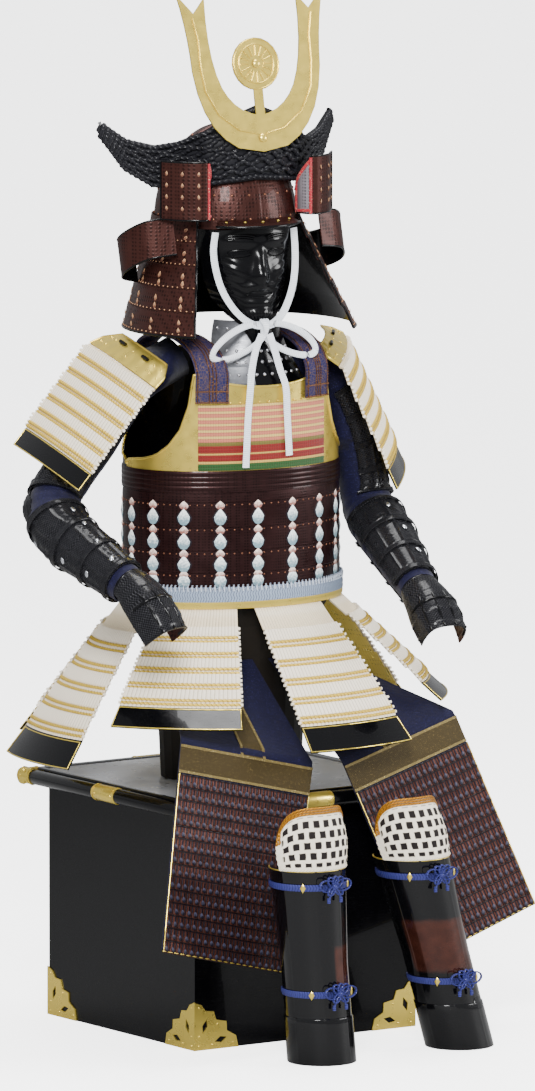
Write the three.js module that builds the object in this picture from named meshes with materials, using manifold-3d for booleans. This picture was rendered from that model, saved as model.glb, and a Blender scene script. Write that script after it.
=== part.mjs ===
// Samurai armour, seated on its armour chest. Millimetres, +Z up, the front faces -Y.
// The origin is the middle of the chest's underside.
import * as THREE from 'three';
import { mergeVertices } from 'three/addons/utils/BufferGeometryUtils.js';
import Module from 'manifold-3d';

const wasm = await Module();
wasm.setup();

// Driving dimensions
const SEAM = 0.3;
const PLATE = 2;
const CHEST = { side: 420, height: 380, wall: 12 };
const LID = { half: 224, top: 400, rail: 12, railAt: 235 };
const FITTING = { reach: 84, height: 78, thick: 2, slot: 12 };
const BODY_TURN = -6;
const TRUNK = { a: 180, b: 126, sides: 28 };
const SASH = { bottom: 686, top: 722, wall: 4.5, swell: 1.5 };
const TASSET = { count: 7, first: 12.9, topAngle: 21, bottomWidth: 210, wall: 3, lames: 5 };
const HELMET = { y: 18, radius: 112, rim: 1285, height: 155 };
const GUARD = { open: 50, top: 1297, bottom: 1120, bottomRadius: 183, lames: 5, forward: 24, aside: 12 };
const SHIN = { knee: 313, open: 48, columns: 18 };
const KNEE = { top: 414, corner: 46, half: 78, wall: 4 };

const { degToRad, lerp } = THREE.MathUtils;
const vec = (x, y, z) => new THREE.Vector3(x, y, z);
const steps = (count, from = 0, to = 1) =>
  Array.from({ length: count + 1 }, (_, i) => lerp(from, to, i / count));

// Reads a column of a short table between its rows; key is the column that rises or falls steadily.
function readTable(table, key, column, at) {
  const rising = table[table.length - 1][key] > table[0][key];
  const rows = rising ? table : [...table].reverse();
  if (at <= rows[0][key]) return rows[0][column];
  for (let i = 1; i < rows.length; i += 1) {
    if (at <= rows[i][key]) {
      const part = (at - rows[i - 1][key]) / (rows[i][key] - rows[i - 1][key]);
      return lerp(rows[i - 1][column], rows[i][column], part);
    }
  }
  return rows[rows.length - 1][column];
}

// Makes a closed body from points and triangles, with its faces turned outwards.
function closedBody(points, triangles) {
  let volume = 0;
  for (const [a, b, c] of triangles) {
    volume += points[a].dot(points[b].clone().cross(points[c]));
  }
  const facing = volume < 0 ? triangles.map(([a, b, c]) => [a, c, b]) : triangles;
  const geometry = new THREE.BufferGeometry();
  geometry.setAttribute('position', new THREE.Float32BufferAttribute(points.flatMap((p) => p.toArray()), 3));
  geometry.setIndex(facing.flat());
  return geometry;
}

function gridNormal(rows, i, j, ring) {
  const across = rows[0].length;
  const before = ring ? (i + across - 1) % across : Math.max(i - 1, 0);
  const after = ring ? (i + 1) % across : Math.min(i + 1, across - 1);
  const alongRow = rows[j][after].clone().sub(rows[j][before]);
  const downRows = rows[Math.min(j + 1, rows.length - 1)][i].clone().sub(rows[Math.max(j - 1, 0)][i]);
  return alongRow.cross(downRows).normalize();
}

// A wall over rows of points. Its plain inner face lies on them, and its outer face stands off by
// the thickness and any relief, on the side that looks away from the point given.
function wallBody(rows, thick, away, { ring = false, relief = () => 0 } = {}) {
  const across = rows[0].length;
  const down = rows.length;
  const midJ = Math.floor(down / 2);
  const midI = Math.floor(across / 2);
  const looks = gridNormal(rows, midI, midJ, ring).dot(rows[midJ][midI].clone().sub(away));
  const side = looks < 0 ? -1 : 1;
  const outer = rows.flatMap((row, j) => row.map((point, i) => {
    const off = side * (thick + relief(i, j, point));
    return point.clone().addScaledVector(gridNormal(rows, i, j, ring), off);
  }));
  const points = [...outer, ...rows.flat()];
  const inner = outer.length;
  const at = (i, j) => j * across + (i % across);
  const triangles = [];
  const quad = (a, b, c, d) => triangles.push([a, b, c], [a, c, d]);
  const spans = ring ? across : across - 1;
  for (let i = 0; i < spans; i += 1) {
    for (let j = 0; j < down - 1; j += 1) {
      quad(at(i, j), at(i + 1, j), at(i + 1, j + 1), at(i, j + 1));
      quad(inner + at(i, j), inner + at(i, j + 1), inner + at(i + 1, j + 1), inner + at(i + 1, j));
    }
    const last = down - 1;
    quad(at(i + 1, 0), at(i, 0), inner + at(i, 0), inner + at(i + 1, 0));
    quad(at(i, last), at(i + 1, last), inner + at(i + 1, last), inner + at(i, last));
  }
  for (let j = 0; j < down - 1 && !ring; j += 1) {
    const last = across - 1;
    quad(at(0, j), at(0, j + 1), inner + at(0, j + 1), inner + at(0, j));
    quad(at(last, j + 1), at(last, j), inner + at(last, j), inner + at(last, j + 1));
  }
  return closedBody(points, triangles);
}

// A filled body through closed rings of points, capped at both ends.
function loftBody(rings) {
  const across = rings[0].length;
  const middle = (ring) => ring.reduce((sum, p) => sum.add(p), vec(0, 0, 0)).divideScalar(across);
  const points = [...rings.flat(), middle(rings[0]), middle(rings[rings.length - 1])];
  const firstCap = points.length - 2;
  const triangles = [];
  for (let i = 0; i < across; i += 1) {
    const next = (i + 1) % across;
    for (let j = 0; j < rings.length - 1; j += 1) {
      const low = j * across;
      const high = low + across;
      triangles.push([low + i, low + next, high + next], [low + i, high + next, high + i]);
    }
    const top = (rings.length - 1) * across;
    triangles.push([firstCap, next, i], [firstCap + 1, top + i, top + next]);
  }
  return closedBody(points, triangles);
}

function toSolid(geometry) {
  const bare = geometry.clone();
  bare.deleteAttribute('normal');
  bare.deleteAttribute('uv');
  const merged = mergeVertices(bare, 1e-3);
  const vertProperties = new Float32Array(merged.attributes.position.array);
  const triVerts = new Uint32Array(merged.index.array);
  return new wasm.Manifold(new wasm.Mesh({ numProp: 3, vertProperties, triVerts }));
}

function fromSolid(solid) {
  const mesh = solid.getMesh();
  const geometry = new THREE.BufferGeometry();
  geometry.setAttribute('position', new THREE.BufferAttribute(mesh.vertProperties, 3));
  geometry.setIndex(new THREE.BufferAttribute(mesh.triVerts, 1));
  return geometry;
}

const join = (...geometries) => fromSolid(geometries.map(toSolid).reduce((a, b) => a.add(b)));

// Cuts tools out of a body and keeps the largest piece, so that no chip is left
function cut(geometry, ...tools) {
  const left = tools.map(toSolid).reduce((a, b) => a.subtract(b), toSolid(geometry));
  return fromSolid(left.decompose().reduce((a, b) => (a.volume() > b.volume() ? a : b)));
}
const block = (sx, sy, sz, x, y, z) => new THREE.BoxGeometry(sx, sy, sz).translate(x, y, z);

// Rings of points round a curve. Angle zero points to the side given, and angles turn about the curve.
function ringsAlong(curve, side, stations, angles, reach) {
  return stations.map((t) => {
    const centre = curve.getPointAt(t);
    const tangent = curve.getTangentAt(t);
    const across = side.clone().addScaledVector(tangent, -side.dot(tangent)).normalize();
    const third = tangent.clone().cross(across);
    return angles.map((angle) => {
      const r = reach(t, angle);
      return centre.clone().addScaledVector(across, r * Math.cos(angle))
        .addScaledVector(third, r * Math.sin(angle));
    });
  });
}

const fullTurn = (sides) => steps(sides, 0, 2 * Math.PI).slice(0, sides);

// A flat or round cord along a curve, its wide way laid along a given direction at the start.
function cordBody(points, width, thick, wide, count, sides = 8) {
  const curve = new THREE.CatmullRomCurve3(points);
  const frames = curve.computeFrenetFrames(count, false);
  const lay = Math.atan2(wide.dot(frames.binormals[0]), wide.dot(frames.normals[0]));
  const section = fullTurn(sides).map((angle) => {
    const x = Math.cos(angle) * width / 2;
    const y = Math.sin(angle) * thick / 2;
    return new THREE.Vector2(x * Math.cos(lay) - y * Math.sin(lay), x * Math.sin(lay) + y * Math.cos(lay));
  });
  return new THREE.ExtrudeGeometry(new THREE.Shape(section), {
    steps: count, extrudePath: curve, bevelEnabled: false,
  });
}

// Finishes
const finish = (color, roughness, metalness) =>
  new THREE.MeshStandardMaterial({ color, roughness, metalness });
const FINISH = {
  lacquer: finish(0x0b0b0d, 0.25, 0.1),
  russet: finish(0x3a1d17, 0.45, 0.4),
  cream: finish(0xede6d6, 0.7, 0),
  gilt: finish(0xc9a840, 0.3, 0.9),
  cloth: finish(0x23245c, 0.85, 0),
  scales: finish(0x5b3226, 0.45, 0.5),
  sash: finish(0xb4bccb, 0.5, 0.2),
  cord: finish(0xdfe4ea, 0.7, 0),
  tie: finish(0x363c82, 0.6, 0),
  lidTop: finish(0x9da0a6, 0.35, 0.3),
};

const armour = new THREE.Group();
const upper = new THREE.Group();
upper.rotation.z = degToRad(BODY_TURN);
armour.add(upper);

function add(name, geometry, material, group = armour) {
  const mesh = new THREE.Mesh(geometry, material);
  mesh.name = name;
  group.add(mesh);
}

const SIDES = [
  { name: 'right', sign: -1 },
  { name: 'left', sign: 1 },
];

// Armour chest: an open-topped box under a lid with a round rail
function chestBox() {
  const { side, height, wall } = CHEST;
  const inside = side - 2 * wall;
  const outer = block(side, side, height, 0, 0, height / 2);
  return cut(outer, block(inside, inside, height, 0, 0, height / 2 + wall));
}

function chestLid() {
  const underside = CHEST.height + SEAM;
  const thick = LID.top - underside;
  const length = 2 * (LID.railAt + LID.rail);
  const plate = block(2 * LID.half, 2 * LID.half, thick, 0, 0, underside + thick / 2);
  const rails = [0, 1, 2, 3].map((quarter) => new THREE.CylinderGeometry(LID.rail, LID.rail, length, 8)
    .rotateZ(Math.PI / 2).translate(0, -LID.railAt, underside + LID.rail / 2)
    .rotateZ(quarter * Math.PI / 2));
  return join(plate, ...rails);
}

// One scalloped corner plate: two wings at a right angle, each with two slots
function cornerFitting(quarter) {
  const { reach, height, thick, slot } = FITTING;
  const outline = new THREE.Shape();
  outline.moveTo(0, 0);
  outline.lineTo(reach, 0);
  outline.quadraticCurveTo(reach * 1.02, height * 0.3, reach * 0.74, height * 0.36);
  outline.quadraticCurveTo(reach * 0.84, height * 0.62, reach * 0.5, height * 0.6);
  outline.quadraticCurveTo(reach * 0.5, height * 0.86, reach * 0.26, height * 0.8);
  outline.quadraticCurveTo(reach * 0.2, height * 0.96, 0, height);
  for (const { x, z, lean } of [{ x: 0.24, z: 0.48, lean: 1.25 }, { x: 0.6, z: 0.19, lean: 0.25 }]) {
    const hole = new THREE.Path();
    hole.absellipse(x * reach, z * height, slot, slot * 0.42, 0, 2 * Math.PI, true, lean);
    outline.holes.push(hole);
  }
  const wing = () => new THREE.ExtrudeGeometry(outline, {
    depth: thick, bevelEnabled: false, curveSegments: 2,
  });
  const face = CHEST.side / 2 + SEAM;
  const alongX = wing().rotateX(Math.PI / 2).scale(-1, 1, 1);
  alongX.setIndex(Array.from({ length: alongX.attributes.position.count }, (_, i) => i).reverse());
  alongX.translate(face + thick, -face, 0);
  const alongY = wing().rotateX(Math.PI / 2).rotateZ(Math.PI / 2).translate(face, -face - thick, 0);
  const turn = quarter * Math.PI / 2;
  return join(alongX, alongY).rotateZ(turn);
}

add('chest_box', chestBox(), FINISH.lacquer);
add('chest_lid', chestLid(), FINISH.lidTop);
for (const quarter of [0, 1, 2, 3]) {
  add(`corner_fitting_${quarter + 1}`, cornerFitting(quarter), FINISH.gilt);
}

// A point on an ellipse about the trunk's axis, by its angle from the front
function onEllipse(angle, a, b, z, y = 0) {
  return vec(a * Math.sin(angle), y - b * Math.cos(angle), z);
}

// Hip stand: a smooth tapered block between the lid and the trunk
const STAND = [
  { z: LID.top + SEAM, a: 118, b: 90 },
  { z: 560, a: 126, b: 94 },
  { z: 650, a: 150, b: 104 },
  { z: 692, a: 172, b: 118 },
  { z: 704, a: TRUNK.a - SEAM, b: TRUNK.b - SEAM },
  { z: 730, a: TRUNK.a - SEAM, b: TRUNK.b - SEAM },
];
const ellipseRing = (a, b, z) => fullTurn(TRUNK.sides).map((angle) => onEllipse(angle, a, b, z));
add('hip_stand', loftBody(STAND.map(({ z, a, b }) => ellipseRing(a, b, z))), FINISH.lacquer, upper);

// Thigh guards: a cloth panel from the hip to the hem, and a field of scales laced over its lower part.
// Each row gives the outer and inner end of a level, hip angles are from the front.
const THIGH = {
  right: {
    hip: { outer: -72, inner: -6 },
    thigh: { outer: vec(-245, -223, 503), inner: vec(-10, -246, 448) },
    hem: { outer: vec(-352, -328, 188), inner: vec(-90, -288, 124) },
  },
  left: {
    hip: { outer: 72, inner: 6 },
    thigh: { outer: vec(276.5, -223, 504), inner: vec(40, -255, 447) },
    hem: { outer: vec(385.5, -293, 193), inner: vec(151, -327, 128) },
  },
};
const HIP_Z = 596;
const THIGH_CLOTH = 2;
const SCALE_START = 0.16;
const SCALE = { wall: 1.8, relief: 1.4 };
const CLOTH_LEVELS = [-1, -0.5, 0, 0.3, 0.6, 0.985];

// A place on the cloth: s runs from the outer edge to the inner, t from the thigh line to the hem.
function onThigh(side, s, t) {
  const { hip, thigh, hem } = THIGH[side];
  if (t >= 0) {
    const outer = thigh.outer.clone().lerp(hem.outer, t);
    const inner = thigh.inner.clone().lerp(hem.inner, t);
    return outer.lerp(inner, s);
  }
  const angle = degToRad(lerp(hip.outer, hip.inner, s));
  const waist = onEllipse(angle, 137.5, 99.5, HIP_Z)
    .applyAxisAngle(vec(0, 0, 1), degToRad(BODY_TURN));
  return thigh.outer.clone().lerp(thigh.inner, s).lerp(waist, -t);
}

const BEHIND_THIGH = vec(30, 0, 150);
for (const { name } of SIDES) {
  const clothRows = CLOTH_LEVELS.map((t) => steps(5).map((s) => onThigh(name, s, t)));
  add(`thigh_cloth_${name}`, wallBody(clothRows, THIGH_CLOTH, BEHIND_THIGH), FINISH.cloth);
  const field = steps(16, SCALE_START, 1).map((t) => steps(6).map((s) => onThigh(name, s, t)));
  const normal = gridNormal(field, 3, 8, false);
  const lift = (normal.y > 0 ? -1 : 1) * (THIGH_CLOTH + SEAM);
  const scaleRows = field.map((row) => row.map((point) => point.clone().addScaledVector(normal, lift)));
  add(`thigh_scales_${name}`, wallBody(scaleRows, SCALE.wall, BEHIND_THIGH, {
    relief: (i, j) => (j % 2 ? SCALE.relief : 0),
  }), FINISH.scales);
}

// Shin guards: a tube open at the calf, an ankle band, a knee guard and two ties with bows
const LEGS = [
  { name: 'right', x: -92, y: -394, lean: -0.09 },
  { name: 'left', x: 171, y: -395, lean: -0.3 },
];
const SHIN_PROFILE = [
  { z: 0, r: 51, out: 1.6 }, { z: 73, r: 51, out: 1.6 }, { z: 75, r: 51, out: 0 },
  { z: 160, r: 51, out: 0 }, { z: SHIN.knee, r: 59, out: 0 },
];
const SHIN_ANGLES = steps(SHIN.columns, degToRad(SHIN.open - 180), degToRad(180 - SHIN.open));
const legPoint = (leg, angle, r, z) => vec(
  leg.x + leg.lean * z + r * Math.sin(angle), leg.y - r * Math.cos(angle), z);

function shinGuard(leg) {
  const rows = SHIN_PROFILE.map(({ z, r }) => SHIN_ANGLES.map((angle) => legPoint(leg, angle, r, z)));
  const relief = (i, j) => SHIN_PROFILE[j].out;
  return wallBody(rows, PLATE, vec(leg.x + leg.lean * 150, leg.y, 150), { relief });
}

function kneeGuard(leg) {
  const half = degToRad(KNEE.half);
  const top = (s) => KNEE.top - KNEE.corner * Math.abs(s) ** 4;
  const rows = steps(4).map((t) => steps(12, -1, 1).map((s) => {
    const z = lerp(SHIN.knee + SEAM + 0.7, top(s), t);
    return legPoint(leg, s * half, 58 + 6 * Math.sin(Math.PI * t) - 3 * t, z);
  }));
  return wallBody(rows, KNEE.wall, vec(leg.x + leg.lean * 350, leg.y, 350));
}

// A tie: a flat band round the shin, with a knot, two loops and two short ends near the front
const KNOT_ANGLE = 4;
function shinTie(leg, z, r) {
  const inner = r + PLATE + SEAM + 0.4;
  const rows = [-5, 5].map((dz) => SHIN_ANGLES.map((angle) => legPoint(leg, angle, inner, z + dz)));
  const band = wallBody(rows, 2.4, vec(leg.x + leg.lean * z, leg.y, z));
  const at = degToRad(KNOT_ANGLE);
  const aside = (distance, up) => vec(distance * Math.cos(at), distance * Math.sin(at), up);
  const knotAt = legPoint(leg, at, inner + 7.5, z);
  const knot = new THREE.SphereGeometry(7, 6, 3).translate(knotAt.x, knotAt.y, knotAt.z);
  const loops = [-1, 1].map((side) => {
    const centre = legPoint(leg, at, inner + 9, z).add(aside(side * 15, 3));
    return new THREE.TorusGeometry(10, 2.4, 3, 8).scale(1.25, 0.8, 1).rotateX(Math.PI / 2).rotateZ(at)
      .translate(centre.x, centre.y, centre.z);
  });
  const ends = [-1, 1].map((side) => {
    const from = legPoint(leg, at, inner + 8, z);
    const to = legPoint(leg, at, inner + 10, z - 19).add(aside(side * 9, 0));
    return cordBody([from, to], 4.4, 3, vec(1, 0, 0), 1, 4);
  });
  return join(band, knot, ...loops, ...ends);
}

const SHIN_TIES = [{ name: 'upper', z: 287, r: 58 }, { name: 'lower', z: 114, r: 51 }];
for (const leg of LEGS) {
  add(`shin_guard_${leg.name}`, shinGuard(leg), FINISH.lacquer);
  add(`knee_guard_${leg.name}`, kneeGuard(leg), FINISH.cream);
  for (const tie of SHIN_TIES) {
    add(`shin_tie_${tie.name}_${leg.name}`, shinTie(leg, tie.z, tie.r), FINISH.tie);
  }
}

// Trunk of the cuirass: five laced rows under a ridged band
const TRUNK_ROWS = [
  { z: 690, out: 1.4 }, { z: 742, out: 0.3 }, { z: 743, out: 1.4 }, { z: 777, out: 0.3 },
  { z: 778, out: 1.4 }, { z: 815, out: 0.3 }, { z: 816, out: 1.4 }, { z: 855, out: 0.3 },
  { z: 856, out: 1.4 }, { z: 870, out: 0.6 }, { z: 873, out: 2.4 }, { z: 904, out: 2.4 },
];
const AXIS = (z) => vec(0, 0, z);
const trunkRing = (off, z) => ellipseRing(TRUNK.a + off, TRUNK.b + off, z);
const trunkRows = TRUNK_ROWS.map(({ z }) => trunkRing(0, z));
add('cuirass_trunk', wallBody(trunkRows, PLATE, AXIS(800), {
  ring: true, relief: (i, j) => TRUNK_ROWS[j].out,
}), FINISH.russet, upper);

const SASH_OFF = PLATE + TRUNK_ROWS[0].out + SEAM;
const sashRows = steps(2, SASH.bottom, SASH.top).map((z) => trunkRing(SASH_OFF, z));
add('waist_sash', wallBody(sashRows, SASH.wall, AXIS(SASH.bottom), {
  ring: true, relief: (i, j) => (j === 1 ? SASH.swell : 0),
}), FINISH.sash, upper);

// Chest and back plates: each level spans half an angle to either side of the middle
const CHEST_PLATE = [
  { z: 904.3, half: 95, rise: 0 }, { z: 917, half: 95, rise: 0 }, { z: 919, half: 78, rise: 0 },
  { z: 928, half: 64, rise: 0 }, { z: 945, half: 55, rise: 0 }, { z: 970, half: 48, rise: 0 },
  { z: 1005, half: 43, rise: 4 }, { z: 1030, half: 41, rise: 16 }, { z: 1037, half: 40, rise: 22 },
];
const BACK_PLATE = [
  { z: 904.3, half: 84.7, rise: 0 }, { z: 917, half: 84.7, rise: 0 }, { z: 919, half: 72, rise: 0 },
  { z: 945, half: 56, rise: 0 }, { z: 1000, half: 45, rise: 0 }, { z: 1050, half: 41, rise: 0 },
  { z: 1074, half: 40, rise: 0 },
];

const PLATE_COLUMNS = 16;
function trunkPlate(table, middle) {
  const rows = table.map(({ z, half, rise }) => steps(PLATE_COLUMNS, -1, 1)
    .map((s) => onEllipse(degToRad(middle + s * half), TRUNK.a, TRUNK.b, z + rise * s * s)));
  const rim = (i, j) => (i === 0 || i === PLATE_COLUMNS || j === table.length - 1 ? 2 : 0);
  return wallBody(rows, PLATE, AXIS(950), { relief: rim });
}
add('chest_plate', trunkPlate(CHEST_PLATE, 0), FINISH.gilt, upper);
add('back_plate', trunkPlate(BACK_PLATE, 180), FINISH.lacquer, upper);

// Shoulder straps: over the shoulder, with each end laid on a plate
const STRAP = { x: 93, half: 24, wall: 4, off: PLATE + 3.2 };
const STRAP_PATH = [
  { y: -1, z: 1013 }, { y: -1, z: 1035 }, { y: -1, z: 1062 }, { y: -0.8, z: 1088 }, { y: -0.4, z: 1104 },
  { y: 0, z: 1108 }, { y: 0.4, z: 1106 }, { y: 0.8, z: 1096 }, { y: 1, z: 1080 }, { y: 1, z: 1050 },
  { y: 1, z: 1024 },
];
const plateDepth = (x, off) => (TRUNK.b + off) * Math.sqrt(1 - (x / (TRUNK.a + off)) ** 2);
for (const { name, sign } of SIDES) {
  const rows = STRAP_PATH.map(({ y, z }) => steps(2, -1, 1).map((s) => {
    const x = STRAP.x + s * STRAP.half;
    return vec(sign * x, y * plateDepth(x, STRAP.off), z);
  }));
  const under = vec(sign * STRAP.x, 0, 1000);
  add(`shoulder_strap_${name}`, wallBody(rows, STRAP.wall, under), FINISH.cloth, upper);
}

// Tassets: seven laced panels that fan out from the waist. Reach is how far the hem stands out.
const TASSETS = [
  { reach: 187, drop: 208 }, { reach: 175, drop: 157 }, { reach: 160, drop: 200 }, { reach: 150, drop: 225 },
  { reach: 175, drop: 215 }, { reach: 180, drop: 240 }, { reach: 190, drop: 165 },
];
const HANGS_FROM = 2.4;

// Levels of laced lames: each starts low and ends proud of the next. The last one is a plain plate.
function lameLevels(count, plainTop, plainEnd) {
  const levels = [{ t: 0, out: 0, wide: 0 }, { t: plainTop - 0.01, out: 0, wide: 0 }];
  const drop = (1 - plainTop - plainEnd) / count;
  for (let k = 0; k < count; k += 1) {
    const start = plainTop + k * drop;
    levels.push({ t: start, out: 3.2, wide: 3 }, { t: start + drop - 0.012, out: 0.6, wide: 0 });
  }
  levels.push({ t: 1 - plainEnd, out: 0, wide: -3 }, { t: 1, out: 0, wide: -3 });
  return levels;
}

function tasset({ reach, drop }, index) {
  const middle = TASSET.first + index * 360 / TASSET.count;
  const out = degToRad(middle);
  const away = onEllipse(out, 1, 1, 0);
  const tangent = vec(Math.cos(out), Math.sin(out), 0);
  const rise = TASSET.wall * reach / Math.hypot(reach, drop);
  const topZ = SASH.bottom - 2 * SEAM - rise;
  const hem = onEllipse(out, TRUNK.a, TRUNK.b, topZ).addScaledVector(away, reach).add(vec(0, 0, -drop));
  const levels = lameLevels(TASSET.lames, 0.17, 0.18);
  const rows = levels.map(({ t, wide }) => steps(4, -1, 1).map((s) => {
    const top = onEllipse(degToRad(middle + s * TASSET.topAngle), TRUNK.a + HANGS_FROM, TRUNK.b + HANGS_FROM,
      topZ);
    const half = TASSET.bottomWidth / 2;
    const low = hem.clone().addScaledVector(tangent, s * half).addScaledVector(away, -14 * s * s);
    return top.lerp(low, t).addScaledVector(tangent, s * wide);
  }));
  return wallBody(rows, TASSET.wall, vec(0, 0, 300), { relief: (i, j) => levels[j].out });
}
TASSETS.forEach((size, index) => add(`tasset_${index + 1}`, tasset(size, index), FINISH.cream, upper));

// Helmet bowl: ribbed plates up to the small open crown
const HELMET_AXIS = vec(0, HELMET.y, HELMET.rim + 20);
const bowlRows = steps(5, 0, degToRad(83)).map((rise) => {
  const r = HELMET.radius * Math.cos(rise);
  const z = HELMET.rim + HELMET.height * Math.sin(rise);
  return fullTurn(24).map((angle) => onEllipse(angle, r, r, z, HELMET.y));
});
const RIB = 1.6;
const BOWL_OUT = PLATE + RIB + SEAM;
add('helmet_bowl', wallBody(bowlRows, PLATE, HELMET_AXIS, { ring: true, relief: (i) => (i % 3 ? 0 : RIB) }),
  FINISH.russet, upper);

const visorRows = steps(1).map((t) => steps(10, -1, 1).map((s) => {
  const r = lerp(HELMET.radius + BOWL_OUT - 1.2, 150 - 16 * s * s, t);
  return onEllipse(degToRad(34) * s, r, r, lerp(1297, 1288, t), HELMET.y);
}));
add('helmet_visor', wallBody(visorRows, 3, vec(0, -100, 1000)), FINISH.lacquer, upper);

// Turned-back panels, neck wings and the neck guard
const TURN_BACK = [
  { x: 88.1, y: -55.8 }, { x: 84, y: -82 }, { x: 98, y: -99 }, { x: 126, y: -86 }, { x: 151, y: -52 },
];
const WING = [
  { x: 130, y: -50, z: 1275 }, { x: 172, y: -34, z: 1268 }, { x: 193, y: 8, z: 1246 },
  { x: 182, y: 44, z: 1230 }, { x: 150.2, y: 56.9, z: 1222 },
];
const panelTop = (u) => 1338 + 58 * Math.min(1, u / 0.45);
function bandRows(points, low, high, columns) {
  const curve = new THREE.CatmullRomCurve3(points);
  return steps(2).map((t) => steps(columns)
    .map((u) => curve.getPoint(u).add(vec(0, 0, lerp(low, high(u), t)))));
}

// The neck guard hangs a little forward and aside towards its lower edge, and its wings go with it
function followGuard(point) {
  const t = (GUARD.top - point.z) / (GUARD.top - GUARD.bottom);
  return point.add(vec(GUARD.aside * t, -GUARD.forward * t, 0));
}

for (const { name, sign } of SIDES) {
  const panel = TURN_BACK.map(({ x, y }) => vec(sign * x, y, 0));
  add(`turned_panel_${name}`, wallBody(bandRows(panel, 1304, panelTop, 10), 2.4, vec(0, HELMET.y, 1350)),
    FINISH.russet, upper);
  const wing = WING.map(({ x, y, z }) => vec(sign * x, y, z));
  const wingRows = bandRows(wing, -28, () => 30, 10).map((row) => row.map(followGuard));
  add(`neck_wing_${name}`, wallBody(wingRows, PLATE, vec(sign * 150, 0, 1250)),
    FINISH.russet, upper);
}

const guardLevels = steps(GUARD.lames - 1).flatMap((_, k) => [
  { t: (k + 0.02) / GUARD.lames, out: k ? 3 : 1 }, { t: (k + 1) / GUARD.lames, out: 0.4 },
]);
const guardRows = guardLevels.map(({ t }) => {
  const r = lerp(HELMET.radius + BOWL_OUT - 0.6, GUARD.bottomRadius, t ** 1.1);
  return steps(18, GUARD.open, 360 - GUARD.open).map((angle) => followGuard(onEllipse(degToRad(angle), r, r,
    lerp(GUARD.top, GUARD.bottom, t), HELMET.y)));
});
add('neck_guard', wallBody(guardRows, PLATE, HELMET_AXIS, { relief: (i, j) => guardLevels[j].out }),
  FINISH.russet, upper);

// Crest base: a thick dark crescent round the bowl's front, roped in relief, with upturned tips
const CREST_BASE = [
  { x: 0, y: -81.7, low: 1365, high: 1479 }, { x: 40, y: -76.3, low: 1361, high: 1464 },
  { x: 76, y: -58.3, low: 1355, high: 1440 }, { x: 104, y: -24, low: 1350, high: 1422 },
  { x: 134, y: 6, low: 1349, high: 1415 }, { x: 170, y: 34, low: 1376, high: 1424 },
  { x: 205, y: 60, low: 1440, high: 1449 },
];
const baseRows = steps(4).map((t) => steps(24, -205, 205).map((x) => {
  const at = Math.abs(x);
  const z = lerp(readTable(CREST_BASE, 'x', 'low', at), readTable(CREST_BASE, 'x', 'high', at), t);
  return vec(x, readTable(CREST_BASE, 'x', 'y', at), z);
}));
const BASE_WALL = 9;
const SWELL = 12;
const baseRelief = (i, j, { x }) => {
  const swell = Math.sin(Math.PI * j / 4) * SWELL * Math.max(0, 1 - Math.abs(x) / 130);
  return swell + ((i + j) % 2 ? 2.4 : 0);
};
add('crest_base', wallBody(baseRows, BASE_WALL, vec(0, 150, 1400), { relief: baseRelief }),
  FINISH.lacquer, upper);

// Crest: a pair of flat gilt blades with a plain disc between them, leaning back over the base
const CREST_LEAN = { at: 1452, angle: 0.2, inset: 0.9 };
function crestPlate() {
  const blades = new THREE.Shape();
  blades.moveTo(0, 1408);
  blades.lineTo(44, 1416);
  blades.quadraticCurveTo(104, 1446, 114, 1540);
  blades.quadraticCurveTo(116, 1606, 131, 1664);
  blades.lineTo(103, 1632);
  blades.lineTo(82, 1656);
  blades.quadraticCurveTo(86, 1560, 64, 1512);
  blades.quadraticCurveTo(44, 1472, 0, 1466);
  blades.quadraticCurveTo(-44, 1472, -64, 1512);
  blades.quadraticCurveTo(-86, 1560, -82, 1656);
  blades.lineTo(-103, 1632);
  blades.lineTo(-131, 1664);
  blades.quadraticCurveTo(-116, 1606, -114, 1540);
  blades.quadraticCurveTo(-104, 1446, -44, 1416);
  const thick = 3;
  const plate = new THREE.ExtrudeGeometry(blades, { depth: thick, bevelEnabled: false, curveSegments: 5 });
  const disc = new THREE.CylinderGeometry(42, 42, thick, 20).rotateX(Math.PI / 2)
    .translate(0, 1548, thick / 2);
  const stem = block(16, 60, thick, 0, 1486, thick / 2);
  return join(plate, disc, stem).rotateX(Math.PI / 2)
    .translate(0, 0, -CREST_LEAN.at).rotateX(-CREST_LEAN.angle)
    .translate(0, CREST_BASE[0].y - BASE_WALL - SWELL + CREST_LEAN.inset, CREST_LEAN.at);
}
add('crest', crestPlate(), FINISH.gilt, upper);

// Face mask with a ribbed beard. Each row gives the half width, the front and how far the sides curve back.
const MASK = [
  { z: 1284.7, half: 76, front: -94.2, depth: 29.7 }, { z: 1262, half: 76, front: -96, depth: 46 },
  { z: 1240, half: 75, front: -97, depth: 54 }, { z: 1205, half: 70, front: -98, depth: 56 },
  { z: 1175, half: 60, front: -99, depth: 50 }, { z: 1150, half: 44, front: -100, depth: 32 },
  { z: 1135, half: 28, front: -100, depth: 13 }, { z: 1120, half: 20, front: -100, depth: 6 },
  { z: 1107, half: 12, front: -101, depth: 3 },
];
const FACE_FORMS = [
  { x: 0, z: 1210, wide: 11, tall: 15, out: 13 }, { x: 0, z: 1236, wide: 8, tall: 18, out: 7 },
  { x: 30, z: 1266, wide: 26, tall: 8, out: 4 }, { x: 40, z: 1218, wide: 18, tall: 16, out: 4 },
  { x: 0, z: 1193, wide: 22, tall: 6, out: 4 }, { x: 0, z: 1168, wide: 18, tall: 6, out: 4 },
  { x: 0, z: 1152, wide: 16, tall: 9, out: 5 },
];
const MASK_TURN = degToRad(80);
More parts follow.
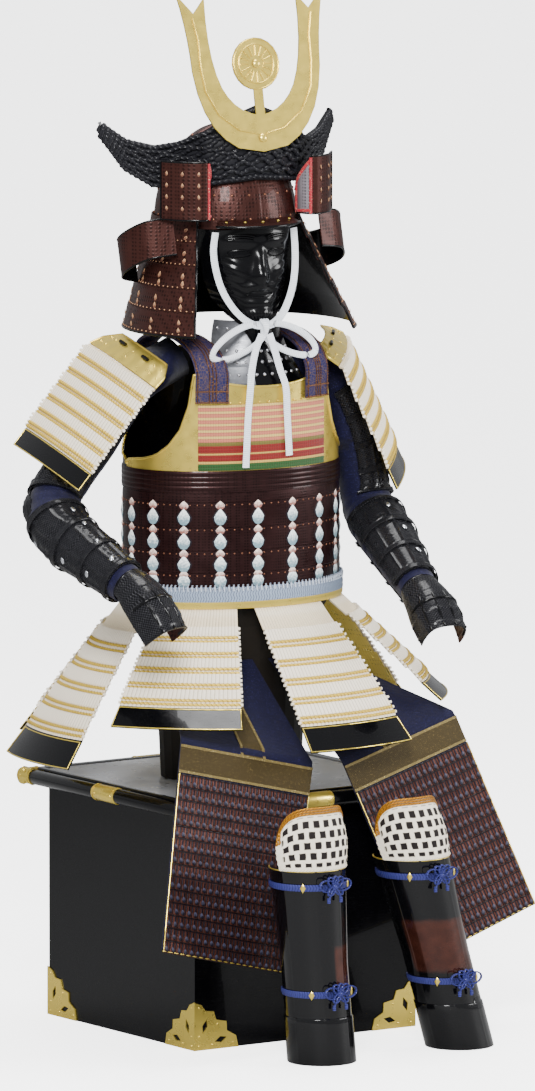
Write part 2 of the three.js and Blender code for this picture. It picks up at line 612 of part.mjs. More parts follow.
function maskPoint(s, z) {
  const half = readTable(MASK, 'z', 'half', z);
  const depth = readTable(MASK, 'z', 'depth', z);
  const bend = s * MASK_TURN;
  const back = depth * (1 - Math.cos(bend)) / (1 - Math.cos(MASK_TURN));
  return vec(half * Math.sin(bend) / Math.sin(MASK_TURN), readTable(MASK, 'z', 'front', z) + back, z);
}
const bump = (x, z, form, side) => form.out
  * Math.exp(-(((x - side * form.x) / form.wide) ** 2) - (((z - form.z) / form.tall) ** 2));
function faceRelief(i, j, { x, z }) {
  const onBothSides = (form) => bump(x, z, form, 1) + (form.x ? bump(x, z, form, -1) : 0);
  const forms = FACE_FORMS.reduce((sum, form) => sum + onBothSides(form), 0);
  const fade = Math.min(1, Math.max(0, (1284 - z) / 10));
  return forms * fade + (z < 1152 && i % 2 ? 1.4 : 0);
}
const maskRows = steps(11).map((t) => steps(12, -1, 1).map((s) => maskPoint(s, lerp(1284.7, 1107, t))));
const opening = (x, z, wide, tall) => new THREE.CylinderGeometry(1, 1, 90, 8).rotateX(Math.PI / 2)
  .scale(wide, 1, tall).translate(x, -100, z);
add('face_mask', cut(wallBody(maskRows, 2.5, vec(0, 0, 1200), { relief: faceRelief }),
  opening(-32, 1246, 17, 5.5), opening(32, 1246, 17, 5.5), opening(0, 1181, 21, 4.5)), FINISH.lacquer, upper);

// Throat guard: a bib of three lames from inside the jaw to inside the chest plate's neckline
const throatLevels = [0, 1, 2].flatMap((k) => [
  { t: (k + 0.03) / 3, out: k ? 1.6 : 0 }, { t: (k + 1) / 3, out: 0 },
]);
const THROAT = { top: 54, low: 82, topZ: 1138, lowZ: 1030 };
const throatRows = throatLevels.map(({ t }) => steps(8, -1, 1).map((s) => {
  const top = vec(THROAT.top * s, -94 + 26 * (THROAT.top * s / 40) ** 2, THROAT.topZ);
  const x = THROAT.low * s;
  const low = vec(x, -plateDepth(x, -PLATE - 0.4), THROAT.lowZ);
  return vec(lerp(top.x, low.x, t), lerp(top.y, low.y, t * t), lerp(top.z, low.z, t));
}));
add('throat_guard', wallBody(throatRows, PLATE, vec(0, 0, 1100), { relief: (i, j) => throatLevels[j].out }),
  finish(0x8b8e94, 0.4, 0.6), upper);

// Chin cord: two runs down the cheeks, a knot and two loops; its two free tails hang down the chest
const CHEEK_RUN = [
  { x: 70, y: -80.7, z: 1281 }, { x: 73, y: -79.6, z: 1252 }, { x: 71, y: -84, z: 1222 },
  { x: 64, y: -90, z: 1192 }, { x: 50, y: -98, z: 1164 }, { x: 33, y: -106, z: 1144 },
  { x: 16, y: -110.5, z: 1134 }, { x: 0, y: -112, z: 1131 },
];
const CHIN = { wide: 12, thick: 3 };
const TAILS = {
  right: [vec(-7, -117.8, 1119), vec(-18, -119, 1095), vec(-28, -124, 1062), vec(-35, -133, 1036),
    vec(-39, -132.5, 990), vec(-41, -132.5, 950), vec(-43, -132.5, 910)],
  left: [vec(7, -117.8, 1119), vec(15, -119, 1095), vec(23, -124, 1062), vec(28, -133.4, 1036),
    vec(31, -132.5, 995), vec(33, -132.5, 960), vec(35, -132.5, 925)],
};
function chinCord() {
  const runs = SIDES.map(({ sign }) => cordBody(CHEEK_RUN.map(({ x, y, z }) => vec(sign * x, y, z)),
    CHIN.wide, CHIN.thick, vec(1, 0, 0), 8, 6));
  const knot = new THREE.SphereGeometry(9, 8, 5).scale(1.2, 0.6, 1).translate(0, -112, 1129);
  const loops = SIDES.map(({ sign }) => new THREE.TorusGeometry(24, 3.4, 4, 10).scale(2.1, 0.62, 0.8)
    .rotateX(Math.PI / 2).rotateY(sign * degToRad(24)).translate(sign * 46, -113, 1108));
  return join(...runs, knot, ...loops);
}
add('chin_cord', chinCord(), FINISH.cord, upper);
for (const { name } of SIDES) {
  const tail = cordBody(TAILS[name], CHIN.wide, CHIN.thick, vec(1, 0, 0), 10);
  add(`chin_tail_${name}`, tail, FINISH.cord, upper);
}

// Shoulder guards: a gilt board, then a field of laced lames with a plain black end plate
const SHOULDER_GUARDS = {
  right: {
    board: vec(-153.8, 0, 1088), top: vec(-193.8, 0, 1065), hem: vec(-328.8, 0, 911),
    front: vec(0, -1, -0.21),
  },
  left: {
    board: vec(158.8, 0, 1090.4), top: vec(198.3, 0, 1068.4), hem: vec(302.3, 0, 863.4),
    front: vec(-0.5, -0.866, -0.1),
  },
};
const SODE = { half: 112, bow: 10, wall: 3, lames: 6 };
function shoulderRows(side, levels, from, to) {
  const { front, top, hem } = SHOULDER_GUARDS[side];
  const out = hem.clone().sub(top).cross(front).normalize();
  if (out.z < 0) out.negate();
  return levels.map(({ t, wide }) => steps(4, -1, 1).map((s) => from.clone().lerp(to, t)
    .addScaledVector(front, s * (SODE.half + wide)).addScaledVector(out, SODE.bow * (1 - s * s))));
}
for (const { name, sign } of SIDES) {
  const { board, top, hem } = SHOULDER_GUARDS[name];
  const under = vec(sign * 100, 0, 700);
  const boardLevels = [{ t: 0, wide: -36 }, { t: 0.5, wide: -8 }, { t: 0.985, wide: 0 }];
  add(`shoulder_board_${name}`, wallBody(shoulderRows(name, boardLevels, board, top), SODE.wall, under),
    FINISH.gilt, upper);
  const levels = lameLevels(SODE.lames, 0.03, 0.17);
  add(`shoulder_field_${name}`, wallBody(shoulderRows(name, levels, top, hem), SODE.wall, under,
    { relief: (i, j) => levels[j].out }), FINISH.cream, upper);
}

// Arms: a cloth sleeve, an upper-arm plate, forearm splints and a hand guard, all along one line
const ARMS = {
  right: {
    line: [vec(-98, 2, 1075.8), vec(-172, 2, 1038), vec(-250, 0, 945), vec(-318, -8, 862),
      vec(-330, -55, 818), vec(-312, -122, 784), vec(-289, -200, 747)],
    hand: [vec(-277, -240, 717), vec(-262, -273, 668)],
    firstRib: 0,
  },
  left: {
    line: [vec(98, 2, 1076.4), vec(166, 2, 1038), vec(210, 3, 965), vec(235, 3, 880), vec(241, -12, 818),
      vec(239, -90, 768), vec(232, -200, 706)],
    hand: [vec(233, -240, 677), vec(233, -281, 636)],
    firstRib: 1,
  },
};
const ARM_RADIUS = [
  { t: 0, r: 33 }, { t: 0.3, r: 36 }, { t: 0.55, r: 38 }, { t: 0.66, r: 43 }, { t: 0.78, r: 40 },
  { t: 1, r: 29 },
];
const armRadius = (t) => readTable(ARM_RADIUS, 't', 'r', t);
const CLOTH = 2;
const SPLINT = 2;
const SPLINT_RIB = 1.6;
const ARM_SIDES = 12;
const SLEEVE_STATIONS = [0, 0.1, 0.2, 0.3, 0.4, 0.5, 0.57, 0.65, 0.75, 0.87, 1];
for (const { name, sign } of SIDES) {
  const { line, hand, firstRib } = ARMS[name];
  const curve = new THREE.CatmullRomCurve3(line);
  const side = vec(sign * 0.8, 0, 0.6);
  const inside = curve.getPointAt(0.5);
  const sleeveRows = ringsAlong(curve, side, SLEEVE_STATIONS, fullTurn(ARM_SIDES), armRadius);
  add(`sleeve_${name}`, wallBody(sleeveRows, CLOTH, inside, { ring: true }), FINISH.cloth, upper);
  const shell = (stations, columns, ribFrom) => {
    const spread = columns * Math.PI / ARM_SIDES;
    const ribs = (i) => (i % 2 === ribFrom ? SPLINT_RIB : 0);
    const rows = ringsAlong(curve, side, stations, steps(columns, -spread, spread),
      (t) => armRadius(t) + CLOTH + 2 * SEAM);
    return wallBody(rows, SPLINT, inside, { relief: ribs });
  };
  add(`arm_plate_${name}`, shell([0.2, 0.3, 0.4, 0.5, 0.57], 8, firstRib), FINISH.lacquer, upper);
  add(`forearm_splints_${name}`, shell([0.65, 0.75, 0.87, 0.98], 10, 1), FINISH.lacquer, upper);
  const wrist = curve.getPointAt(1);
  const tangent = curve.getTangentAt(1);
  const handLine = new THREE.CatmullRomCurve3([wrist.clone().addScaledVector(tangent, 1.4),
    wrist.clone().addScaledVector(tangent, 18), ...hand]);
  const handRows = ringsAlong(handLine, vec(0, 0, 1), steps(5), steps(9, -degToRad(112), degToRad(112)),
    (t) => 29 + 9 * Math.sin(Math.PI * Math.min(1, t * 0.8)));
  add(`hand_guard_${name}`, wallBody(handRows, SPLINT, handLine.getPointAt(0.5)), FINISH.lacquer, upper);
}

export default armour;
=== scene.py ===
"""Looks of a seated suit of laced plate armour on its chest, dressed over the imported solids.

Lengths in the classes are millimetres. The upper body is turned six degrees about the vertical, as in
the solids, and `settle` turns its points and makes them metres.
"""

import logging
import math
from dataclasses import dataclass, field
from enum import Enum
from functools import lru_cache
from typing import Callable, Iterable, Optional, Sequence, TypeVar, Union

import bpy
from mathutils import Matrix, Vector


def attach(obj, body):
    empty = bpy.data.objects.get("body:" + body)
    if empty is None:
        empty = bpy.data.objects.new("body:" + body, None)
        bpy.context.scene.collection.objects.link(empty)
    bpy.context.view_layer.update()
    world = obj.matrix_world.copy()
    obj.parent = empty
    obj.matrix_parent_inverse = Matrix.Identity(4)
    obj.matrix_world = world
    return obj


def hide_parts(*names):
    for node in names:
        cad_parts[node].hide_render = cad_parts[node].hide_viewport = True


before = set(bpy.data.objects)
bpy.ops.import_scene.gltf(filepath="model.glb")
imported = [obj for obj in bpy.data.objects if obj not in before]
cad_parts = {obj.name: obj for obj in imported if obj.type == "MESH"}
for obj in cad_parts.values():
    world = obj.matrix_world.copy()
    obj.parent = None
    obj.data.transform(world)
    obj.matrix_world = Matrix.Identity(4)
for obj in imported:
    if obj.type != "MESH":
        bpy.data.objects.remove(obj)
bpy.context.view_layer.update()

LOG = logging.getLogger("armour")
MM = 0.001
UPPER_TURN = Matrix.Rotation(math.radians(-6), 3, "Z")
UP = Vector((0, 0, 1))
Surface = Callable[[float, float], Vector]
Number = Callable[[float, float], float]
Piece = bpy.types.Object
Paint = bpy.types.Material
Socket = bpy.types.NodeSocket
Source = Union[Socket, float, Sequence[float]]
Blend = TypeVar("Blend", float, Vector)


class Side(Enum):
    """A side of the wearer, with the sign of its X."""

    RIGHT = ("right", -1)
    LEFT = ("left", 1)

    @property
    def label(self) -> str:
        """The word in node names."""
        return self.value[0]

    @property
    def sign(self) -> int:
        """Minus one for the wearer's right."""
        return self.value[1]


def vec(x: float, y: float, z: float) -> Vector:
    """A short name for a vector."""
    return Vector((x, y, z))


def lerp(a: Blend, b: Blend, t: float) -> Blend:
    """A value part of the way from one to another, for numbers and vectors."""
    return a + (b - a) * t


def settle(point: Vector, turned: bool = True) -> Vector:
    """A point of the shared frame in metres, from millimetres, turned with the upper body or not."""
    return (UPPER_TURN @ point if turned else point) * MM


def ellipse(degrees: float, a: float, b: float, z: float, y: float = 0.0) -> Vector:
    """A point on an ellipse about the trunk's axis, by its angle from the front."""
    angle = math.radians(degrees)
    return vec(a * math.sin(angle), y - b * math.cos(angle), z)


def read(rows: Sequence[Sequence[float]], at: float) -> list[float]:
    """Reads a table between its rows: the row's other values where its first value would be `at`."""
    if at <= rows[0][0]:
        return list(rows[0][1:])
    for low, high in zip(rows, rows[1:]):
        if at <= high[0]:
            part = (at - low[0]) / (high[0] - low[0])
            return [lerp(a, b, part) for a, b in zip(low[1:], high[1:])]
    return list(rows[-1][1:])


class Route:
    """A smooth curve through points, read by its length."""

    SAMPLES = 200

    def __init__(self, points: Iterable[Vector]) -> None:
        """Keeps the points that the curve passes, and measures it."""
        self.points = [p.copy() for p in points]
        self.samples = [self.point(i / self.SAMPLES) for i in range(self.SAMPLES + 1)]
        self.lengths = [0.0]
        for a, b in zip(self.samples, self.samples[1:]):
            self.lengths.append(self.lengths[-1] + (b - a).length)

    def point(self, t: float) -> Vector:
        """The point at a share of the way through the given points."""
        last = len(self.points) - 1
        place = min(max(t, 0.0), 1.0) * last
        i = min(int(place), last - 1)
        w = place - i
        p1, p2 = self.points[i], self.points[i + 1]
        p0 = self.points[i - 1] if i else p1 * 2 - p2
        p3 = self.points[i + 2] if i + 2 <= last else p2 * 2 - p1
        d0, d1, d2 = [max((b - a).length ** 0.5, 1e-4) for a, b in ((p0, p1), (p1, p2), (p2, p3))]
        m1 = ((p1 - p0) / d0 - (p2 - p0) / (d0 + d1) + (p2 - p1) / d1) * d1
        m2 = ((p2 - p1) / d1 - (p3 - p1) / (d1 + d2) + (p3 - p2) / d2) * d1
        return (p1 + m1 * w + (p2 * 3 - p1 * 3 - m1 * 2 - m2) * w ** 2
                + (p1 * 2 - p2 * 2 + m1 + m2) * w ** 3)

    def at(self, share: float) -> Vector:
        """The point at a share of the curve's length."""
        target = min(max(share, 0.0), 1.0) * self.lengths[-1]
        for i in range(1, len(self.lengths)):
            if target <= self.lengths[i]:
                part = (target - self.lengths[i - 1]) / max(self.lengths[i] - self.lengths[i - 1], 1e-9)
                return self.samples[i - 1].lerp(self.samples[i], part)
        return self.samples[-1].copy()

    def tangent(self, share: float) -> Vector:
        """The direction of the curve at a share of its length."""
        return (self.at(min(share + 0.01, 1)) - self.at(max(share - 0.01, 0))).normalized()

    def frame(self, share: float, side: Vector) -> tuple[Vector, Vector, Vector]:
        """The point at a share of the length, the direction across that is nearest to a side, and the third."""
        tangent = self.tangent(share)
        across = (side - tangent * side.dot(tangent)).normalized()
        return self.at(share), across, tangent.cross(across)


def displaced(surface: Surface, out: Number, away: Vector) -> Surface:
    """Lifts a surface off itself.

    Args:
        surface: The surface, from (u, t) to a point.
        out: How far each point is lifted, in millimetres.
        away: A point on the side that it is lifted from.

    Returns:
        The lifted surface.
    """
    step = 0.004

    def normal(u: float, t: float) -> Vector:
        """The way that the surface faces at a point."""
        u0, u1, t0, t1 = max(u - step, 0), min(u + step, 1), max(t - step, 0), min(t + step, 1)
        return (surface(u1, t) - surface(u0, t)).cross(surface(u, t1) - surface(u, t0)).normalized()

    side = 1 if normal(0.5, 0.5).dot(surface(0.5, 0.5) - away) > 0 else -1
    return lambda u, t: surface(u, t) + normal(u, t) * (side * out(u, t))


def only(obj: Piece) -> None:
    """Selects one object and makes it active."""
    bpy.ops.object.select_all(action="DESELECT")
    obj.select_set(True)
    bpy.context.view_layer.objects.active = obj


def primitive(operator: Callable, name: str, **settings) -> Piece:
    """Adds a primitive with nothing else selected.

    Args:
        operator: The operator that adds it.
        name: The new object's name.
        **settings: The operator's settings.

    Returns:
        The new object.
    """
    bpy.ops.object.select_all(action="DESELECT")
    operator(**settings)
    obj = bpy.context.object
    obj.name = obj.data.name = name
    return obj


def apply(obj: Piece, kind: str, **settings) -> None:
    """Adds a modifier of a kind, with its settings, and applies it."""
    only(obj)
    modifier = obj.modifiers.new(kind.lower(), kind)
    for name, value in settings.items():
        setattr(modifier, name, value)
    bpy.ops.object.modifier_apply(modifier=modifier.name)


def smooth(obj: Piece, degrees: float = 40) -> None:
    """Shades an object smooth, apart from edges sharper than an angle."""
    only(obj)
    bpy.ops.object.shade_smooth_by_angle(angle=math.radians(degrees))


def joined(name: str, objects: Sequence[Piece]) -> Piece:
    """Joins objects into one of the name given."""
    bpy.ops.object.select_all(action="DESELECT")
    for obj in objects:
        obj.select_set(True)
    bpy.context.view_layer.objects.active = objects[0]
    if len(objects) > 1:
        bpy.ops.object.join()
    objects[0].name = objects[0].data.name = name
    return objects[0]


def dress(obj: Piece, slot: str, materials: Sequence[Paint],
          nodes: Sequence[str] = ()) -> Piece:
    """Gives a finished piece its materials, hangs it under the root empty, and hides the CAD nodes that it stands for.

    Args:
        obj: The piece.
        slot: A material slot's name; not used.
        materials: Its materials, by slot index.
        nodes: The CAD nodes that it stands for.

    Returns:
        The piece.
    """
    faces = obj.data.polygons
    wanted = [min(face.material_index, len(materials) - 1) for face in faces]
    obj.data.materials.clear()
    for material in materials:
        obj.data.materials.append(material)
    faces.foreach_set("material_index", wanted)
    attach(obj, "root")
    if nodes:
        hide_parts(*nodes)
    LOG.info("%s: %d faces", obj.name, len(obj.data.polygons))
    return obj


@dataclass
class Shell:
    """A thin wall: a grid bent to a surface, then given its thickness outwards."""

    name: str
    surface: Surface
    columns: int
    rows: int
    thick: float
    away: Vector
    ring: bool = False
    turned: bool = True
    levels: Optional[Sequence[float]] = None
    spread: Callable[[float, float], tuple[float, float]] = lambda u, t: (u, t)
    tint: Callable[[float, float], int] = lambda u, t: 0
    inner: int = 0
    angle: float = 40

    def build(self) -> Piece:
        """Adds the grid, moves its points, and thickens it.

        Returns:
            The wall, with its UV map laid by `spread` and its faces' materials by `tint`.
        """
        obj = primitive(bpy.ops.mesh.primitive_grid_add, self.name, x_subdivisions=self.columns,
                        y_subdivisions=self.rows, size=2)
        mesh = obj.data
        flat = [((v.co.x + 1) / 2, self.level((1 - v.co.y) / 2)) for v in mesh.vertices]
        layer = mesh.uv_layers.active
        for polygon in mesh.polygons:
            middle = [sum(flat[i][k] for i in polygon.vertices) / len(polygon.vertices) for k in (0, 1)]
            polygon.material_index = self.tint(*middle)
            for loop in polygon.loop_indices:
                layer.data[loop].uv = self.spread(*flat[mesh.loops[loop].vertex_index])
        for vertex, (u, t) in zip(mesh.vertices, flat):
            vertex.co = settle(self.surface(u, t), self.turned)
        only(obj)
        bpy.ops.object.mode_set(mode="EDIT")
        bpy.ops.mesh.select_all(action="SELECT")
        if self.ring:
            bpy.ops.mesh.remove_doubles(threshold=2e-5)
        bpy.ops.mesh.normals_make_consistent(inside=False)
        bpy.ops.object.mode_set(mode="OBJECT")
        away = settle(self.away, self.turned)
        facing = sum((p.center - away).dot(p.normal) * p.area for p in mesh.polygons)
        if facing < 0:
            mesh.flip_normals()
        if self.thick:
            for _ in range(self.inner + 1):
                mesh.materials.append(None)
            apply(obj, "SOLIDIFY", thickness=self.thick * MM, offset=1, material_offset=self.inner)
        smooth(obj, self.angle)
        return obj

    def level(self, share: float) -> float:
        """The place down the wall of a row of the grid."""
        if self.levels is None:
            return share
        place = share * (len(self.levels) - 1)
        i = min(int(place + 1e-6), len(self.levels) - 2)
        return lerp(self.levels[i], self.levels[i + 1], max(0.0, place - i))



@dataclass(frozen=True)
class Finish:
    """A finish: its colour, how rough and metallic it is, its clear coat, and the size and depth of its wear."""

    name: str
    colour: tuple[float, float, float]
    roughness: float = 0.5
    metallic: float = 0.0
    coat: float = 0.0
    scale: float = 60.0
    bump: float = 0.1
    tone: float = 0.3


LACQUER = Finish("black_lacquer", (0.0015, 0.0015, 0.002), 0.2, 0.0, 0.2, 40, 0.04)
CARVED_BLACK = Finish("carved_black", (0.003, 0.003, 0.004), 0.28, 0.0, 0.1, 150, 0.6)
RUSSET = Finish("russet_lacquer", (0.028, 0.0095, 0.0075), 0.34, 0.5, 0.05, 260, 0.35)
TRUNK_BROWN = Finish("trunk_brown", (0.016, 0.006, 0.006), 0.28, 0.6, 0.1, 260, 0.2)
GREY_IRON = Finish("grey_iron", (0.19, 0.195, 0.21), 0.36, 0.8, 0.0, 120, 0.2)
GILT = Finish("gilt", (0.87, 0.66, 0.13), 0.3, 0.88, 0.0, 60, 0.008, 0.05)
COPPER_STUD = Finish("copper_stud", (0.24, 0.1, 0.06), 0.35, 0.8)
LID_GREY = Finish("lid_grey", (0.52, 0.53, 0.56), 0.3, 0.3, 0.1, 30, 0.05, 0.12)
BLUE_CLOTH = Finish("blue_cloth", (0.0028, 0.0026, 0.019), 0.7, 0.0, 0.0, 500, 0.5)
BROWN_BAND = Finish("brown_band", (0.036, 0.024, 0.006), 0.6, 0.1, 0.0, 500, 0.4)
PALE_PIPING = Finish("pale_piping", (0.13, 0.095, 0.03), 0.5, 0.2, 0.0, 400, 0.3)
TIE_BLUE = Finish("tie_blue", (0.034, 0.038, 0.17), 0.4, 0.15, 0.1, 600, 0.4)
STAND_WOOD = Finish("stand_wood", (0.012, 0.01, 0.008), 0.5, 0.0, 0.0, 20, 0.2)


class Graph:
    """Adds and joins the nodes of one shader tree."""

    def __init__(self, tree: bpy.types.NodeTree) -> None:
        """Keeps the tree."""
        self.tree = tree

    def feed(self, socket: Socket, value: Source) -> None:
        """Links a socket's source, or sets its value."""
        if isinstance(value, Socket):
            self.tree.links.new(value, socket)
        else:
            socket.default_value = (*value, 1) if socket.type == "RGBA" else value

    def node(self, kind: str, inputs: Optional[dict] = None, **settings) -> bpy.types.Node:
        """Adds a node.

        Args:
            kind: The node's type.
            inputs: Values or sockets for its inputs, by name or index.
            **settings: The node's own properties.

        Returns:
            The node.
        """
        node = self.tree.nodes.new(kind)
        for name, value in settings.items():
            setattr(node, name, value)
        for name, value in (inputs or {}).items():
            self.feed(node.inputs[name], value)
        return node

    def maths(self, operation: str, a: Source, b: Source = 0.0, c: Source = 0.0) -> Socket:
        """A Math node's output."""
        return self.node("ShaderNodeMath", {0: a, 1: b, 2: c}, operation=operation).outputs[0]

    def mix(self, factor: Source, a: Source, b: Source) -> Socket:
        """A colour between two."""
        return self.node("ShaderNodeMix", {0: factor, 6: a, 7: b}, data_type="RGBA").outputs[2]

    def slope(self, value: Source, low: float, high: float, start: float = 0.0, end: float = 1.0) -> Socket:
        """A value carried from one range to another, and held at its ends."""
        return self.node("ShaderNodeMapRange", {0: value, 1: low, 2: high, 3: start, 4: end}).outputs[0]

    def band(self, value: Source, low: float, high: float, soft: float = 0.01) -> Socket:
        """One where a value lies between two limits, and zero outside."""
        rise = self.slope(value, low - soft, low + soft)
        return self.maths("MULTIPLY", rise, self.slope(value, high - soft, high + soft, 1.0, 0.0))

    def centred(self, value: Source, count: float = 1.0, shift: Source = 0.0) -> Socket:
        """How far a repeating value is from the middle of its cell, from 0 to a half."""
        cell = self.maths("FRACT", self.maths("MULTIPLY_ADD", value, count, shift))
        return self.maths("ABSOLUTE", self.maths("SUBTRACT", cell, 0.5))

    def ramp(self, value: Source, stops: Sequence[tuple[float, tuple]]) -> Socket:
        """The colour of a ramp of plain steps at a value."""
        node = self.node("ShaderNodeValToRGB", {0: value})
        node.color_ramp.interpolation = "CONSTANT"
        elements = node.color_ramp.elements
        while len(elements) < len(stops):
            elements.new(1)
        for element, (place, colour) in zip(elements, stops):
            element.position = place
            element.color = (*colour, 1)
        return node.outputs[0]

    def across_and_down(self) -> tuple:
        """The two parts of the piece's own UV map."""
        node = self.node("ShaderNodeSeparateXYZ", {0: self.node("ShaderNodeUVMap").outputs[0]})
        return node.outputs[0], node.outputs[1]

    def place(self) -> Socket:
        """Object coordinates."""
        return self.node("ShaderNodeTexCoord").outputs["Object"]

    def noise(self, scale: Source, detail: float = 3.0) -> Socket:
        """A noise between 0 and 1."""
        inputs = {"Vector": self.place(), "Scale": scale, "Detail": detail}
        return self.node("ShaderNodeTexNoise", inputs).outputs[0]

    def group(self, tree: bpy.types.NodeTree, **inputs) -> tuple:
        """A group's outputs, placed with its own values."""
        node = self.node("ShaderNodeGroup")
        node.node_tree = tree
        for name, value in inputs.items():
            self.feed(node.inputs[name], value)
        return tuple(node.outputs)


class Effects:
    """The effects that several finishes share, each built once as a node group."""

    def __init__(self) -> None:
        """Builds the groups."""
        self.wear = self.make_wear()
        self.weave = self.make_weave()
        self.ribs = self.make_ribs()

    @staticmethod
    def start(name: str, inputs: Sequence[str], outputs: Sequence[str]) -> tuple[Graph, tuple, tuple]:
        """An empty group with named number sockets.

        Args:
            name: The group's name.
            inputs: Its inputs' names.
            outputs: Its outputs' names.

        Returns:
            The group's graph, its input sockets and its output sockets.
        """
        tree = bpy.data.node_groups.new(name, "ShaderNodeTree")
        for labels, way in ((inputs, "INPUT"), (outputs, "OUTPUT")):
            for label in labels:
                tree.interface.new_socket(label, in_out=way, socket_type="NodeSocketFloat")
        graph = Graph(tree)
        return graph, tuple(graph.node("NodeGroupInput").outputs), tuple(graph.node("NodeGroupOutput").inputs)

    def make_wear(self) -> bpy.types.NodeTree:
        """Cloudy dulling with fine scratches: a mask and a height."""
        graph, into, out = self.start("handled_wear", ("Scale", "Amount"), ("Mask", "Height"))
        clouds = graph.noise(into[0], 5)
        long = graph.node("ShaderNodeMapping", {"Vector": graph.place(), "Scale": (18.0, 90.0, 260.0)}).outputs[0]
        scratch = graph.node("ShaderNodeTexNoise", {"Vector": long, "Scale": 1.0, "Detail": 2.0}).outputs[0]
        lines = graph.band(scratch, 0.49, 0.505, 0.004)
        graph.feed(out[0], graph.maths("MULTIPLY", graph.maths("MULTIPLY_ADD", lines, 0.35, clouds), into[1]))
        graph.feed(out[1], graph.maths("MULTIPLY_ADD", lines, -0.4, clouds))
        return graph.tree

    def make_weave(self) -> bpy.types.NodeTree:
        """Crossing threads: a height, and a mask of the upper threads."""
        graph, into, out = self.start("crossed_threads", ("Scale",), ("Height", "Mask"))
        inputs = {"Vector": graph.place(), "Scale": into[0], "Distortion": 1.2, "Detail": 1.0, "Detail Scale": 0.6}
        one, two = [graph.node("ShaderNodeTexWave", inputs, bands_direction=way).outputs[1]
                    for way in ("DIAGONAL", "Z")]
        graph.feed(out[0], graph.maths("MAXIMUM", one, two))
        graph.feed(out[1], graph.maths("GREATER_THAN", one, two))
        return graph.tree

    def make_ribs(self) -> bpy.types.NodeTree:
        """Round ribs across a value: a height, and a mask of the grooves between them."""
        graph, into, out = self.start("laced_ribs", ("Across", "Count"), ("Height", "Groove"))
        place = graph.maths("FRACT", graph.maths("MULTIPLY", into[0], into[1]))
        height = graph.maths("SINE", graph.maths("MULTIPLY", place, math.pi))
        graph.feed(out[0], graph.maths("POWER", height, 0.6))
        graph.feed(out[1], graph.maths("LESS_THAN", height, 0.32))
        return graph.tree


class Look(Graph):
    """The shader tree of one material, whose constants stand on the shader's own sockets."""

    def __init__(self, finish: Finish) -> None:
        """Makes the material from its finish."""
        self.material = bpy.data.materials.new(finish.name)
        self.material.use_nodes = True
        super().__init__(self.material.node_tree)
        self.shader = self.tree.nodes["Principled BSDF"]
        for name, value in (("Base Color", finish.colour), ("Roughness", finish.roughness),
                            ("Metallic", finish.metallic), ("Coat Weight", finish.coat), ("Specular IOR Level", 0.14)):
            self.feed(self.shader.inputs[name], value)

    def done(self, colour: Source, height: Source, strength: float = 0.5, distance: float = 0.001,
             rough: Optional[Source] = None, metal: Optional[Source] = None, sheen: float = 0.0) -> Paint:
        """Feeds the shader.

        Args:
            colour: The source of its colour.
            height: The source of its bump.
            strength: The bump's strength.
            distance: The bump's depth in metres.
            rough: The source of its roughness, if that varies.
            metal: The source of its metallic value, if that varies.
            sheen: How much soft sheen cloth has.

        Returns:
            The material.
        """
        for name, value in (("Base Color", colour), ("Roughness", rough), ("Metallic", metal)):
            if value is not None:
                self.feed(self.shader.inputs[name], value)
        self.shader.inputs["Sheen Weight"].default_value = sheen
        bump = self.node("ShaderNodeBump", {"Height": height, "Strength": strength, "Distance": distance})
        self.feed(self.shader.inputs["Normal"], bump.outputs[0])
        return self.material


def shade(colour: Sequence[float], share: float) -> tuple[float, ...]:
    """A colour made darker or lighter."""
    return tuple(min(1.0, part * share) for part in colour)


